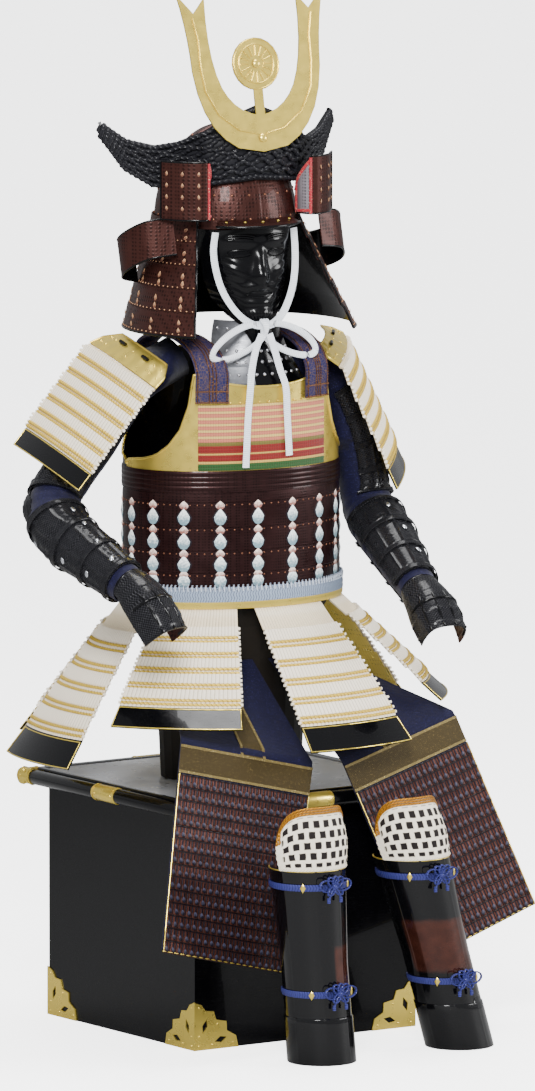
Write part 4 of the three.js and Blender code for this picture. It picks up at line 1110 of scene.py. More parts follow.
@dataclass
class Thighs(Assembly):
    """Thigh guards: a cloth with brown bands, and rows of small scales."""

    hips: dict = field(default_factory=lambda: {Side.RIGHT: (-72, -6), Side.LEFT: (72, 6)})
    thigh: dict = field(default_factory=lambda: {
        Side.RIGHT: (vec(-245, -223, 503), vec(-10, -246, 448)),
        Side.LEFT: (vec(276.5, -223, 504), vec(40, -255, 447))})
    hem: dict = field(default_factory=lambda: {
        Side.RIGHT: (vec(-352, -328, 188), vec(-90, -288, 124)),
        Side.LEFT: (vec(385.5, -293, 193), vec(151, -327, 128))})
    behind: Vector = field(default_factory=lambda: vec(30, 0, 150))
    scale_start: float = 0.16
    rows: int = 14
    across: int = 20

    def spot(self, side: Side, s: float, t: float) -> Vector:
        """A place on the cloth: s from the outer edge to the inner, t from the thigh line down, or up below 0."""
        (thigh_out, thigh_in), (hem_out, hem_in) = self.thigh[side], self.hem[side]
        if t >= 0:
            return lerp(lerp(thigh_out, hem_out, t), lerp(thigh_in, hem_in, t), s)
        waist = UPPER_TURN @ ellipse(lerp(*self.hips[side], s), 137.5, 99.5, 596)
        return lerp(lerp(thigh_out, thigh_in, s), waist, -t)

    def build(self) -> None:
        """Builds both guards."""
        for side in Side:
            self.cloth(side)
            self.scales(side)

    def cloth(self, side: Side) -> None:
        """The cloth, soft over the thigh, with a cross band and an upright strap sewn on."""
        palette, label = self.palette, side.label

        def soft(u: float, t: float) -> Vector:
            """The cloth with its soft waves."""
            level = lerp(-1, 0.985, t)
            ripple = 0.25 * math.sin(u * 23)
            if level < 0:
                ripple = 1.1 * math.sin(u * 19 + level * 4) * min(1, abs(level) * 3)
            return self.spot(side, u, level) + vec(0, -0.2, ripple * 0.6)

        cloth = Shell(f"thigh_panel_{label}", soft, 44, 60, 1.6, self.behind, turned=False, angle=80).build()
        dress(cloth, "blue_cloth", [palette.cloth(BLUE_CLOTH, (0.018, 0.018, 0.08))], [f"thigh_cloth_{label}"])
        width = (self.spot(side, 0, 0) - self.spot(side, 1, 0)).length
        length = sum((self.spot(side, 0.5, a) - self.spot(side, 0.5, b)).length for a, b in ((-1, 0), (0, 0.985)))
        self.area(side)
        lines = [(0.0, 1.0, 0.022, 0.034), (0.0, 1.0, 0.142, 0.154), (0.455, 0.475, -0.6, 0.03),
                 (0.625, 0.645, -0.6, 0.03)]
        for name, finish, fleck, slot, lift, strips in (
                ("bands", BROWN_BAND, (0.11, 0.075, 0.02), "blue_cloth", 2.3,
                 [(0.0, 1.0, 0.03, 0.145), (0.475, 0.625, -0.6, 0.03)]),
                ("piping", PALE_PIPING, (0.4, 0.32, 0.14), "gilt", 2.9, lines)):
            made = [self.strip(side, name, limits, lift) for limits in strips]
            dress(joined(f"thigh_{name}_{label}", made), slot, [palette.cloth(finish, fleck)])

    def area(self, side: Side) -> float:
        """The cloth's cut area in square metres."""
        total, spot = 0.0, lambda s, level: self.spot(side, s, lerp(-1, 0.985, level))
        for i in range(24):
            for j in range(8):
                s, e, a, b = j / 8, (j + 1) / 8, i / 24, (i + 1) / 24
                p, q, r, w = spot(s, a), spot(e, a), spot(e, b), spot(s, b)
                total += ((q - p).cross(r - p).length + (r - p).cross(w - p).length) / 2
        return total * MM * MM

    def strip(self, side: Side, name: str, limits: tuple, lift: float) -> Piece:
        """A strip sewn on the cloth between limits of s and t."""
        s0, s1, t0, t1 = limits
        raised = displaced(lambda u, t: self.spot(side, lerp(s0, s1, u), lerp(t0, t1, t)), lambda u, t: lift,
                           self.behind)
        return Shell(name, raised, 24, 8, 0.8, self.behind, turned=False).build()

    def scales(self, side: Side) -> None:
        """Rows of small scales, each row proud of the next and studded with silk, inside a gilt edge."""
        palette, label = self.palette, side.label

        def surface(u: float, t: float) -> Vector:
            """The field that carries the scales."""
            return self.spot(side, u, lerp(self.scale_start, 1, t))

        def relief(u: float, t: float) -> float:
            """How far a scale stands off the field."""
            return 2.3 + 1.1 * ((t * self.rows) % 1) + 0.55 * math.sin(math.pi * ((u * self.across) % 1))

        levels = sorted((k + part) / self.rows for k in range(self.rows) for part in (0.0, 0.3, 0.65, 0.985)) + [1.0]
        raised = displaced(surface, relief, self.behind)
        scales = Shell(f"scales_{label}", raised, self.across * 6, len(levels) - 1, 1.2, self.behind, turned=False,
                       levels=levels, spread=lambda u, t: (u * self.across, t * self.rows), angle=30).build()
        dress(scales, "copper_scales", [palette.scales()], [f"thigh_scales_{label}"])
        beads = []
        for k in range(self.rows):
            for j in range(self.across):
                u, t = (j + 0.5) / self.across, (k + 0.74) / self.rows
                facing = (raised(u, t) - surface(u, t)).normalized()
                beads.append((raised(u, t) + facing * 1.0, facing))
        # The beads' two colours: painted shade at the foot, a painted bluish highlight at the top.
        silk = palette.drops("scale_silk", (0.004, 0.003, 0.006), (0.035, 0.036, 0.062))
        dress(self.shop.drop_stitches(f"scale_beads_{label}", beads, 7.6, 9.6, False, 0.3), "blue_tie", [silk])
        edge = displaced(surface, lambda u, t: 3.9, self.behind)
        lines = [[edge(i / 30, 0.996) for i in range(31)]]
        lines += [[edge(u, i / 30) for i in range(31)] for u in (0.004, 0.996)]
        dress(self.shop.cords(f"scale_edging_{label}", lines, 1.1, False, sides=6), "gilt", [self.gilt])


@dataclass
class Cuirass(Assembly):
    """The trunk's laced lames, sash, chest and back plates and shoulder straps."""

    a: float = 180.0
    b: float = 126.0
    edges: tuple = (690.0, 742.5, 777.5, 815.5, 855.5, 872.0)
    chest_rows: tuple = ((904.3, 95, 0), (917, 95, 0), (919, 78, 0), (928, 64, 0), (945, 55, 0), (970, 48, 0),
                         (1005, 43, 4), (1030, 41, 16), (1037, 40, 22))
    back_rows: tuple = ((904.3, 84.7, 0), (917, 84.7, 0), (919, 72, 0), (945, 56, 0), (1000, 45, 0), (1050, 41, 0),
                        (1074, 40, 0))
    strap: tuple = ((-1, 1013), (-1, 1035), (-1, 1062), (-0.8, 1088), (-0.4, 1104), (0, 1108), (0.4, 1106),
                    (0.8, 1096), (1, 1080), (1, 1050), (1, 1024))
    sash_teeth: int = 120
    lace_columns: int = 18
    first_column: float = -6.0

    def skin(self, degrees: float, off: float, z: float) -> tuple[Vector, Vector]:
        """A point off the trunk, and the way that it faces there."""
        spot = ellipse(degrees, self.a + off, self.b + off, z)
        return spot, vec(spot.x / self.a ** 2, spot.y / self.b ** 2, 0)

    def build(self) -> None:
        """Builds every piece of the cuirass."""
        self.trunk()
        self.lacing()
        self.sash()
        self.plate("chest", self.chest_rows, 0, "gilt", self.gilt)
        self.plate("back", self.back_rows, 180, "black_lacquer", self.black)
        self.chest_panel()
        for side in Side:
            self.shoulder_strap(side)

    def trunk_out(self, z: float) -> float:
        """How far the trunk's outer skin stands off at a height."""
        if z > 871:
            ridge = 0.9 * abs(math.sin((z - 873) / 31 * math.pi * 4))
            return 1.7 + (ridge if z < 904 else 0)
        for low, high in zip(self.edges, self.edges[1:]):
            if z <= high:
                return lerp(1.5, 0.2, (z - low) / (high - low))
        return 1.0

    def trunk(self) -> None:
        """Five laced lames under a ridged band."""
        stops = [690.0, 862, 870.6, 871.4, 873] + [873 + 31 * i / 24 for i in range(1, 25)]
        for edge in self.edges[1:-1]:
            stops += [edge - 22, edge - 9, edge - 0.6, edge + 0.3]
        levels = [(904 - z) / 214 for z in sorted(set(stops), reverse=True)]

        def surface(u: float, t: float) -> Vector:
            """The trunk's outer skin."""
            z = lerp(904, 690, t)
            return self.skin(u * 360, self.trunk_out(z), z)[0]

        trunk = Shell("trunk", surface, 144, len(levels) - 1, 2, vec(0, 0, 800), ring=True, levels=levels,
                      angle=30).build()
        dress(trunk, "russet_lacquer", [self.palette.dotted(TRUNK_BROWN, 4.5)], ["cuirass_trunk"])

    def lacing(self) -> None:
        """Columns of pale teardrops in dark sockets, a small one over a large one on each lame, and studs."""
        palette = self.palette
        # Each teardrop's two colours: painted shade at the foot, a painted highlight at the top.
        pale = palette.drops("pale_teardrops", (0.16, 0.25, 0.29), (0.86, 0.91, 0.9))
        rose = palette.drops("rose_teardrops", (0.24, 0.1, 0.08), (0.82, 0.66, 0.58))
        socket = palette.plain(Finish("dark_socket", (0.012, 0.008, 0.012), 0.4))
        for name, share, width, tall, lift, material in (
                ("large", 0.4, 20, 27, 2.4, pale), ("small", 0.87, 15, 14, 2.6, rose),
                ("large_socket", 0.4, 26, 33, 1.3, socket), ("small_socket", 0.87, 19, 18, 1.5, socket)):
            spots = []
            for column in range(self.lace_columns):
                for low, high in zip(self.edges, self.edges[1:-1] + (self.edges[-1] + 14,)):
                    z = lerp(max(low, 722), high, share)
                    if z < 866:
                        degrees = column * 360 / self.lace_columns + self.first_column
                        spots.append(self.skin(degrees, self.trunk_out(z) + lift, z))
            slot = "russet_lacquer" if "socket" in name else "cream_lacing"
            dress(self.shop.drop_stitches(f"trunk_{name}", spots, width, tall), slot, [material])
        studs = [self.skin(i * 4 + 1.5, self.trunk_out(z - 4) + 2.2, z - 5)
                 for i in range(90) for z in self.edges[1:-1]]
        dress(self.shop.rivets("lame_studs", studs, 1.5, 0.9, sides=6), "russet_lacquer", [palette.plain(COPPER_STUD)])

    def sash(self) -> None:
        """A flat plaited sash with a serrated upper edge over a gilt lower one."""
        palette = self.palette

        def surface(u: float, t: float) -> Vector:
            """The sash, with its plaited ribs and serrated upper edge."""
            teeth = math.sin(u * 2 * math.pi * self.sash_teeth) if t == 0 else 0
            off = 3.7 + 1.3 * math.sin(math.pi * t) + 0.7 * abs(math.sin(t * math.pi * 4))
            return ellipse(u * 360, self.a + off, self.b + off, lerp(718, 686, t) + teeth)

        cord = palette.braid(Finish("pale_sash", (0.24, 0.3, 0.4), 0.5), (0.05, 0.065, 0.11), 2.6)
        band = Shell("sash", surface, 480, 12, 4, vec(0, 0, 704), ring=True, angle=60,
                     spread=lambda u, t: (u * 97, t * 3), tint=lambda u, t: int(t > 0.7), inner=2).build()
        gilt = self.gilt
        dress(band, "pale_sash", [cord, gilt, cord, gilt], ["waist_sash"])
        lines = [[ellipse(i * 1.5, self.a + 8.2, self.b + 8.2, z) for i in range(241)] for z in (716, 697.5)]
        lines += [[ellipse(i * 2.4, self.a + off, self.b + off, z) for off, z in ((8.2, 713), (8.4, 720), (7.4, 723))]
                  for i in range(150)]
        twisted = palette.braid(Finish("sash_cord", (0.5, 0.56, 0.66), 0.5), (0.16, 0.19, 0.27), 0, 2)
        dress(self.shop.cords("sash_cords", lines, 2.0, twist=8), "pale_sash", [twisted])

    def plate(self, name: str, rows: tuple, middle: float, slot: str, material: Paint) -> None:
        """The chest or back plate with its rolled rim.

        Args:
            name: Which plate it is.
            rows: Its height, half angle and side rise by level.
            middle: The angle of its middle.
            slot: Its material slot in the record.
            material: Its material.
        """

        def surface(u: float, t: float) -> Vector:
            """The plate's face."""
            z = lerp(rows[-1][0], rows[0][0], t)
            half, rise = read(rows, z)
            s = 2 * u - 1
            rib = 0.35 * abs(math.sin(s * 40)) if middle else 0
            return ellipse(middle + s * half, self.a + rib, self.b + rib, z + rise * s * s)

        levels = [i / 48 for i in range(49)]
        plate = Shell(f"{name}_skin", surface, 56, 48, 2, vec(0, 0, 950), levels=levels).build()
        dress(plate, slot, [material], [f"{name}_plate"])
        outline = [surface(0, 1 - i / 30) for i in range(1, 31)] + [surface(i / 30, 0) for i in range(31)]
        outline += [surface(1, i / 30) for i in range(30)]
        rim = [[point + vec(point.x, point.y, 0).normalized() * 2.4 for point in outline]]
        dress(self.shop.cords(f"{name}_rim", rim, 2.1), "gilt", [self.gilt])

    def chest_panel(self) -> None:
        """The striped silk panel on the chest plate, with a row of studs over it."""
        palette = self.palette

        def surface(u: float, t: float) -> Vector:
            """The panel between the straps."""
            z = lerp(1010, 906, t)
            half = min(math.degrees(math.asin(112 / 182)), read(self.chest_rows, z)[0] - 3)
            rib = 0.5 * abs(math.sin(t * math.pi * 21))
            return ellipse((2 * u - 1) * half, self.a + 2.2 + rib, self.b + 2.2 + rib, z)

        panel = Shell("chest_panel", surface, 40, 126, 1.6, vec(0, 0, 950), spread=lambda u, t: (u, 1 - t),
                      angle=60).build()
        dress(panel, "cream_lacing", [palette.stripes()])
        spots = [self.skin(lerp(-36, 36, i / 14), 4, 1013) for i in range(15)]
        dress(self.shop.rivets("chest_studs", spots, 1.8, 1.2), "gilt", [self.gilt])

    def shoulder_strap(self, side: Side) -> None:
        """A padded brocade strap with corded edges."""
        palette = self.palette
        route = Route([vec(0, y * 130, z) for y, z in self.strap])

        def surface(u: float, t: float) -> Vector:
            """The strap over the shoulder."""
            x, point = 93 + (2 * u - 1) * 24, route.at(t)
            puff = 0.8 * math.sin(math.pi * u)
            y = point.y / 130 * (self.b + 5.2) * math.sqrt(1 - (x / (self.a + 5.2)) ** 2)
            return vec(side.sign * x, y + math.copysign(puff, y), point.z + puff)

        under = vec(side.sign * 93, 0, 1000)
        strap = Shell(f"strap_{side.label}", surface, 24, 60, 4, under).build()
        dress(strap, "blue_cloth", [palette.brocade()], [f"shoulder_strap_{side.label}"])
        outer = displaced(surface, lambda u, t: 4.4, under)
        lines = [[outer(u, i / 90) for i in range(91)] for u in (0.06, 0.4, 0.5, 0.6, 0.94)]
        lines += [[outer(i / 16, t) for i in range(17)] for t in (0.004, 0.05, 0.95, 0.996)]
        cord = palette.braid(Finish("bronze_cord", (0.2, 0.09, 0.04), 0.45, 0.3), (0.08, 0.03, 0.015), 0, 2)
        dress(self.shop.cords(f"strap_cords_{side.label}", lines, 1.7, twist=9), "gilt", [cord])


@dataclass
class LacedField(Assembly):
    """A field of laced lames between two edges: lames, gilt cords, ears and a black end plate."""

    name: str
    base: Surface
    away: Vector
    lames: int
    plain_top: float
    plain_end: float
    ribs: int
    node: str

    def out(self, u: float, t: float) -> float:
        """How far the lames stand off the base, with their ribs."""
        end = 1 - self.plain_end
        rib = 0.55 * abs(math.sin(math.pi * self.ribs * u))
        if t > end - 0.004:
            return 0.0
        if t < self.plain_top - 0.005:
            return rib
        part = self.lame(t) % 1
        return lerp(4.2, 0.6, part) + rib if part < 0.97 else 0.4

    def lame(self, t: float) -> float:
        """Which lame a place down the field is on, and how far down it."""
        return (t - self.plain_top) * self.lames / (1 - self.plain_top - self.plain_end)

    def build(self) -> None:
        """Builds the field from its base surface."""
        palette = self.palette
        drop = (1 - self.plain_top - self.plain_end) / self.lames
        end = 1 - self.plain_end
        levels = [0.0, self.plain_top - 0.012]
        for k in range(self.lames):
            start = self.plain_top + k * drop
            levels += [start, start + drop * 0.4, start + drop - 0.02, start + drop - 0.01]
        levels += [end + 0.002, end + 0.012, (end + 1) / 2, 1.0]
        raised = displaced(self.base, self.out, self.away)
        piece = Shell(
            self.name, raised, self.ribs * 4, len(levels) - 1, 2.9, self.away, levels=levels,
            spread=lambda u, t: (u * self.ribs, max(self.lame(t), -0.3)),
            tint=lambda u, t: int(t > end + 0.001), inner=2, angle=50).build()
        gilt, black = self.gilt, self.black
        dress(piece, "cream_lacing", [palette.lacing(), black, gilt, black], [self.node])
        smooth_skin = displaced(self.base, lambda u, t: 3.2 + lerp(4.2, 0.6, self.lame(t) % 1), self.away)
        cords, ears = [], []
        count = round((self.base(1, 0.5) - self.base(0, 0.5)).length / 2.3)
        for k in range(self.lames):
            for part in (0.62, 0.86):
                t = self.plain_top + (k + part) * drop
                cords.append([smooth_skin(i / count, t) for i in range(count + 1)])
            for part in (0.12, 0.38, 0.62, 0.86):
                t = self.plain_top + (k + part) * drop
                for u in (0.0, 1.0):
                    here = smooth_skin(u, t)
                    way = (here - smooth_skin(0.5, t)).normalized()
                    ears.append([here - way, here + way * 3.4])
        twisted = palette.braid(Finish("gilt_cord", (0.68, 0.47, 0.07), 0.38, 0.3), (0.2, 0.11, 0.015), 0, 2)
        dress(self.shop.cords(f"{self.name}_cords", cords, 3.3, twist=14.4), "gilt", [twisted])
        cream = palette.plain(Finish("ear_cord", (0.82, 0.75, 0.62), 0.65, tone=0.1))
        dress(self.shop.cords(f"{self.name}_ears", ears, 2.4, sides=6), "cream_lacing", [cream])
        skin = displaced(self.base, lambda u, t: 3.1, self.away)
        trim = [[skin(i / 36, t) for i in range(37)] for t in (0.997, end + 0.016)]
        trim += [[skin(u, lerp(end + 0.016, 0.997, i / 6)) for i in range(7)] for u in (0.004, 0.996)]
        dress(self.shop.cords(f"{self.name}_trim", trim, 1.0, sides=6), "gilt", [gilt])


@dataclass
class Skirt(Assembly):
    """Seven laced tassets that fan out from the waist."""

    first: float = 12.9
    half_angle: float = 21.0
    sizes: tuple = ((187, 208), (175, 157), (160, 200), (150, 225), (175, 215), (180, 240), (190, 165))

    def build(self) -> None:
        """Builds the tassets."""
        for index, (reach, drop) in enumerate(self.sizes):
            self.tasset(index, reach, drop)

    def tasset(self, index: int, reach: float, drop: float) -> None:
        """One tasset, by its place from the front and how far its hem stands out and hangs."""
        middle = self.first + index * 360 / 7
        away = ellipse(middle, 1, 1, 0)
        tangent = vec(math.cos(math.radians(middle)), math.sin(math.radians(middle)), 0)
        top_z = 686 - 0.6 - 3 * reach / math.hypot(reach, drop)
        hem = ellipse(middle, 180, 126, top_z) + away * reach + vec(0, 0, -drop)

        def surface(u: float, t: float) -> Vector:
            """The tasset, from its hinge line to its hem."""
            s = 2 * u - 1
            top = ellipse(middle + s * self.half_angle, 182.4, 128.4, top_z)
            low = hem + tangent * s * 105 - away * 14 * s * s
            return lerp(top, low, t) - away * 0.6 * math.sin(math.pi * t) * math.cos(3 * s)

        LacedField(self.shop, f"skirt_panel_{index + 1}", surface, vec(0, 0, 300), 5, 0.17, 0.18, 28,
                   f"tasset_{index + 1}").build()


@dataclass
class ShoulderGuards(Assembly):
    """Two large shoulder guards: a gilt board with toggles, and a laced field."""

    half: float = 112.0
    bow: float = 10.0
    places: dict = field(default_factory=lambda: {
        Side.RIGHT: (vec(-153.8, 0, 1088), vec(-193.8, 0, 1065), vec(-328.8, 0, 911), vec(0, -1, -0.21)),
        Side.LEFT: (vec(158.8, 0, 1090.4), vec(198.3, 0, 1068.4), vec(302.3, 0, 863.4), vec(-0.5, -0.866, -0.1))})

    def build(self) -> None:
        """Builds both guards."""
        for side in Side:
            self.guard(side)

    def guard(self, side: Side) -> None:
        """One guard."""
        board, top, hem, front = self.places[side]
        gilt, label = self.gilt, side.label
        out = (hem - top).cross(front).normalized()
        out = -out if out.z < 0 else out
        under = vec(side.sign * 100, 0, 700)
        widths = ((0, -36), (0.5, -8), (0.985, 0))

        def on(start: Vector, end: Vector, t: float, u: float, wide: float) -> Vector:
            """A point of the guard between two lines, bowed outwards."""
            s = 2 * u - 1
            return lerp(start, end, t) + front * s * (self.half + wide) + out * self.bow * (1 - s * s)

        def board_surface(u: float, t: float) -> Vector:
            """The gilt board, narrower at its top."""
            return on(board, top, 0.985 * t, u, read(widths, 0.985 * t)[0]) + out * 0.3 * math.sin(u * 50)

        piece = Shell(f"board_{label}", board_surface, 60, 10, 3, under).build()
        dress(piece, "gilt", [gilt], [f"shoulder_board_{label}"])
        skin = displaced(board_surface, lambda u, t: 3.0, under)
        edge = [skin(0.0, 1 - i / 8) for i in range(9)] + [skin(i / 30, 0) for i in range(31)]
        edge += [skin(1, i / 8) for i in range(9)]
        spots = [(skin(u, t), out) for u in (0.06, 0.16, 0.84, 0.94, 0.5) for t in (0.35, 0.7)]
        nails = self.shop.rivets("nails", spots, 2.4, 1.5)
        dress(joined(f"board_edge_{label}", [self.shop.cords("edge", [edge], 1.4), nails]), "gilt", [gilt])
        toggles = []
        for u in (0.3, 0.7):
            at, way = skin(u, 0.3), front.normalized() * 9
            toggles += [[at - way + out * 2, at + way + out * 2], [at + out * 0.5, at + out * 4]]
        dress(self.shop.cords(f"board_toggles_{label}", toggles, 3.0), "black_lacquer", [self.black])
        LacedField(self.shop, f"shoulder_lames_{label}", lambda u, t: on(top, hem, t, u, 0), under, 6, 0.03, 0.17, 31,
                   f"shoulder_field_{label}").build()


@dataclass
class Arms(Assembly):
    """Sleeves with their plates, splints, clasps and hand guards."""

    lines: dict = field(default_factory=lambda: {
        Side.RIGHT: [(-98, 2, 1075.8), (-172, 2, 1038), (-250, 0, 945), (-318, -8, 862), (-330, -55, 818),
                     (-312, -122, 784), (-289, -200, 747)],
        Side.LEFT: [(98, 2, 1076.4), (166, 2, 1038), (210, 3, 965), (235, 3, 880), (241, -12, 818),
                    (239, -90, 768), (232, -200, 706)]})
    hands: dict = field(default_factory=lambda: {
        Side.RIGHT: [(-277, -240, 717), (-262, -273, 668)], Side.LEFT: [(233, -240, 677), (233, -281, 636)]})
    radii: tuple = ((0, 33), (0.3, 36), (0.55, 38), (0.66, 43), (0.78, 40), (1, 29))

    def build(self) -> None:
        """Builds both arms."""
        for side in Side:
            route = Route([vec(*p) for p in self.lines[side]])
            self.sleeve(side, route)
            self.plates(side, route)
            self.hand(side, route)

    @staticmethod
    def around(frame_at: tuple[Vector, Vector, Vector], degrees: float, radius: float) -> Vector:
        """A point round the arm, from a frame of its route."""
        point, across, third = frame_at
        angle = math.radians(degrees)
        return point + across * radius * math.cos(angle) + third * radius * math.sin(angle)

    def sleeve(self, side: Side, route: Route) -> None:
        """The cloth sleeve, gathered in soft folds at the elbow."""
        way = vec(side.sign * 0.8, 0, 0.6)
        frames = [route.frame(i / 90, way) for i in range(91)]

        def surface(u: float, t: float) -> Vector:
            """The sleeve with its folds."""
            angle = u * 2 * math.pi
            near = math.exp(-((t - 0.6) / 0.1) ** 2)
            fold = near * 1.5 * math.sin(t * 130 + 2 * math.sin(angle)) + 0.7 * math.sin(t * 47 + 3 * math.cos(angle))
            fold *= min(1, t * 12, (1 - t) * 12)
            return self.around(frames[min(int(t * 90 + 1e-6), 90)], u * 360, read(self.radii, t)[0] + fold * 0.5 - 0.2)

        sleeve = Shell(f"sleeve_cloth_{side.label}", surface, 40, 90, 1.6, route.at(0.5), ring=True, angle=80).build()
        dress(sleeve, "blue_cloth", [self.palette.cloth(BLUE_CLOTH, (0.018, 0.018, 0.08))], [f"sleeve_{side.label}"])

    def shell(self, route: Route, way: Vector, limits: tuple[float, float], spread: float, lift: float,
              thick: float, ribs: int, tone: float) -> Piece:
        """A ribbed plate round part of the arm.

        Args:
            route: The arm's line.
            way: The direction of the plate's middle.
            limits: The shares of the arm's length where it starts and ends.
            spread: How far round it reaches to either side, in degrees.
            lift: How far its inner face stands off the sleeve.
            thick: Its wall.
            ribs: How many ribs run along it.
            tone: Repeats of the carved pattern round it.

        Returns:
            The plate.
        """
        low, high = limits
        count = max(8, int((high - low) * 200))
        frames = [route.frame(lerp(low, high, i / count), way) for i in range(count + 1)]

        def surface(u: float, t: float) -> Vector:
            """The plate with its ribs and borders."""
            wave = abs(math.sin(math.pi * ribs * u))
            ridge = 2.4 * max(0.0, 1 - wave / 0.32) + 1.5 * max(0.0, wave - 0.8) * 5 * (0.55 + 0.45 * math.sin(t * 95))
            edge = 0.8 if min(u, 1 - u, t, 1 - t) < 0.03 else 0
            radius = read(self.radii, lerp(low, high, t))[0] + 2.5 + lift + ridge + edge
            return self.around(frames[min(int(t * count + 1e-6), count)], lerp(-spread, spread, u), radius)

        return Shell("plate", surface, max(24, ribs * 12), count, thick, route.at((low + high) / 2),
                     spread=lambda u, t: (u * tone, t * tone * 1.6), angle=32).build()

    def plates(self, side: Side, route: Route) -> None:
        """Upper-arm plate, elbow cup, forearm splints with their borders, and silver clasps."""
        palette, label = self.palette, side.label
        way = vec(side.sign * 0.8, 0, 0.6)
        carved = palette.carved()
        for name, limits, spread, ribs, tone, hoops, node in (
                ("arm", (0.2, 0.57), 118, 6, 14, (0.2, 0.29, 0.38, 0.47, 0.55), "arm_plate"),
                ("forearm", (0.65, 0.98), 148, 7, 16, (0.65, 0.75, 0.86, 0.96), "forearm_splints")):
            plates = [self.shell(route, way, limits, spread, 0.2, 1.6, ribs, tone)]
            plates += [self.shell(route, way, (at, at + 0.018), spread + 1, 2.1, 1.1, 0, 30) for at in hoops]
            dress(joined(f"{name}_plates_{label}", plates), "black_lacquer", [carved], [f"{node}_{label}"])
        dress(self.elbow(side, route, way), "black_lacquer", [carved])
        clasps = []
        for share, degrees in ((0.7, -62), (0.78, -50), (0.86, -38), (0.94, -28), (0.28, -64), (0.4, -64), (0.52, -60),
                               (0.9, 40), (0.8, 48), (0.7, 56)):
            spot = self.around(route.frame(share, way), degrees, read(self.radii, share)[0] + 6.4)
            clasps.append((spot, spot - route.at(share)))
        silver = palette.plain(Finish("silver_clasp", (0.62, 0.64, 0.68), 0.25, 0.95))
        dress(self.shop.rivets(f"arm_clasps_{label}", clasps, 4.0, 1.8, sides=6, long=1.5), "grey_iron", [silver])

    def elbow(self, side: Side, route: Route, way: Vector) -> Piece:
        """A small ribbed elbow cup on the outer bend."""
        share = 0.61
        point, across, _ = route.frame(share, way)
        tangent = route.tangent(share)
        outward = (point - (route.at(share - 0.12) + route.at(share + 0.12)) / 2).normalized()
        outward = (outward + across * 0.4).normalized()
        turn = tangent.cross(outward).normalized()

        def surface(u: float, t: float) -> Vector:
            """The cup, a dome with a scalloped edge."""
            angle = u * 2 * math.pi
            reach = t * 30 * (1 + 0.06 * math.cos(8 * angle))
            dome = 45.6 + 4 * (1 - t * t) + 0.5 * math.cos(t * 26)
            low = math.sqrt(max(dome * dome - reach * reach, 1)) if t else dome
            return point + outward * low + (turn * math.cos(angle) + tangent * math.sin(angle)) * reach

        return Shell(f"elbow_cup_{side.label}", surface, 40, 12, 1.6, point, ring=True,
                     spread=lambda u, t: (u * 12, t * 6)).build()

    def hand(self, side: Side, route: Route) -> None:
        """The hand guard: a boxy cover with finger ridges and a russet lining."""
        palette, label = self.palette, side.label
        wrist, tangent = route.at(1), route.tangent(1)
        line = Route([wrist + tangent * 1.4, wrist + tangent * 18, *[vec(*p) for p in self.hands[side]]])
        frames = [line.frame(i / 40, UP) for i in range(41)]

        def surface(u: float, t: float) -> Vector:
            """The cover, squarer and higher over the knuckles."""
            degrees = lerp(-112, 112, u)
            angle = math.radians(degrees)
            square = (abs(math.cos(angle)) ** 4 + abs(math.sin(angle)) ** 4) ** -0.25
            radius = (28.4 + 9 * math.sin(math.pi * min(1, t * 0.8))) * lerp(1, square, 0.55 * t)
            knuckle = 0.9 if (t > 0.5 and (t * 9) % 1 < 0.12) else 0
            return self.around(frames[min(int(t * 40 + 1e-6), 40)], degrees, radius + knuckle)

        middle = line.at(0.5)
        cover = Shell(f"hand_cover_{label}", surface, 48, 40, 2, middle, spread=lambda u, t: (u * 14, t * 12),
                      inner=1, angle=30).build()
        dress(cover, "black_lacquer", [palette.carved(), palette.dotted(RUSSET, 6.5)], [f"hand_guard_{label}"])
        ridge = displaced(surface, lambda a, b: 2.4, middle)
        bars = [[ridge(0.28 + 0.147 * k, i / 12) for i in range(5, 13)] for k in range(4)]
        bars += [[ridge(i / 24, t) for i in range(3, 22)] for t in (0.06, 0.5, 0.97)]
        dress(self.shop.cords(f"hand_ridges_{label}", bars, 2.2), "black_lacquer", [self.black])


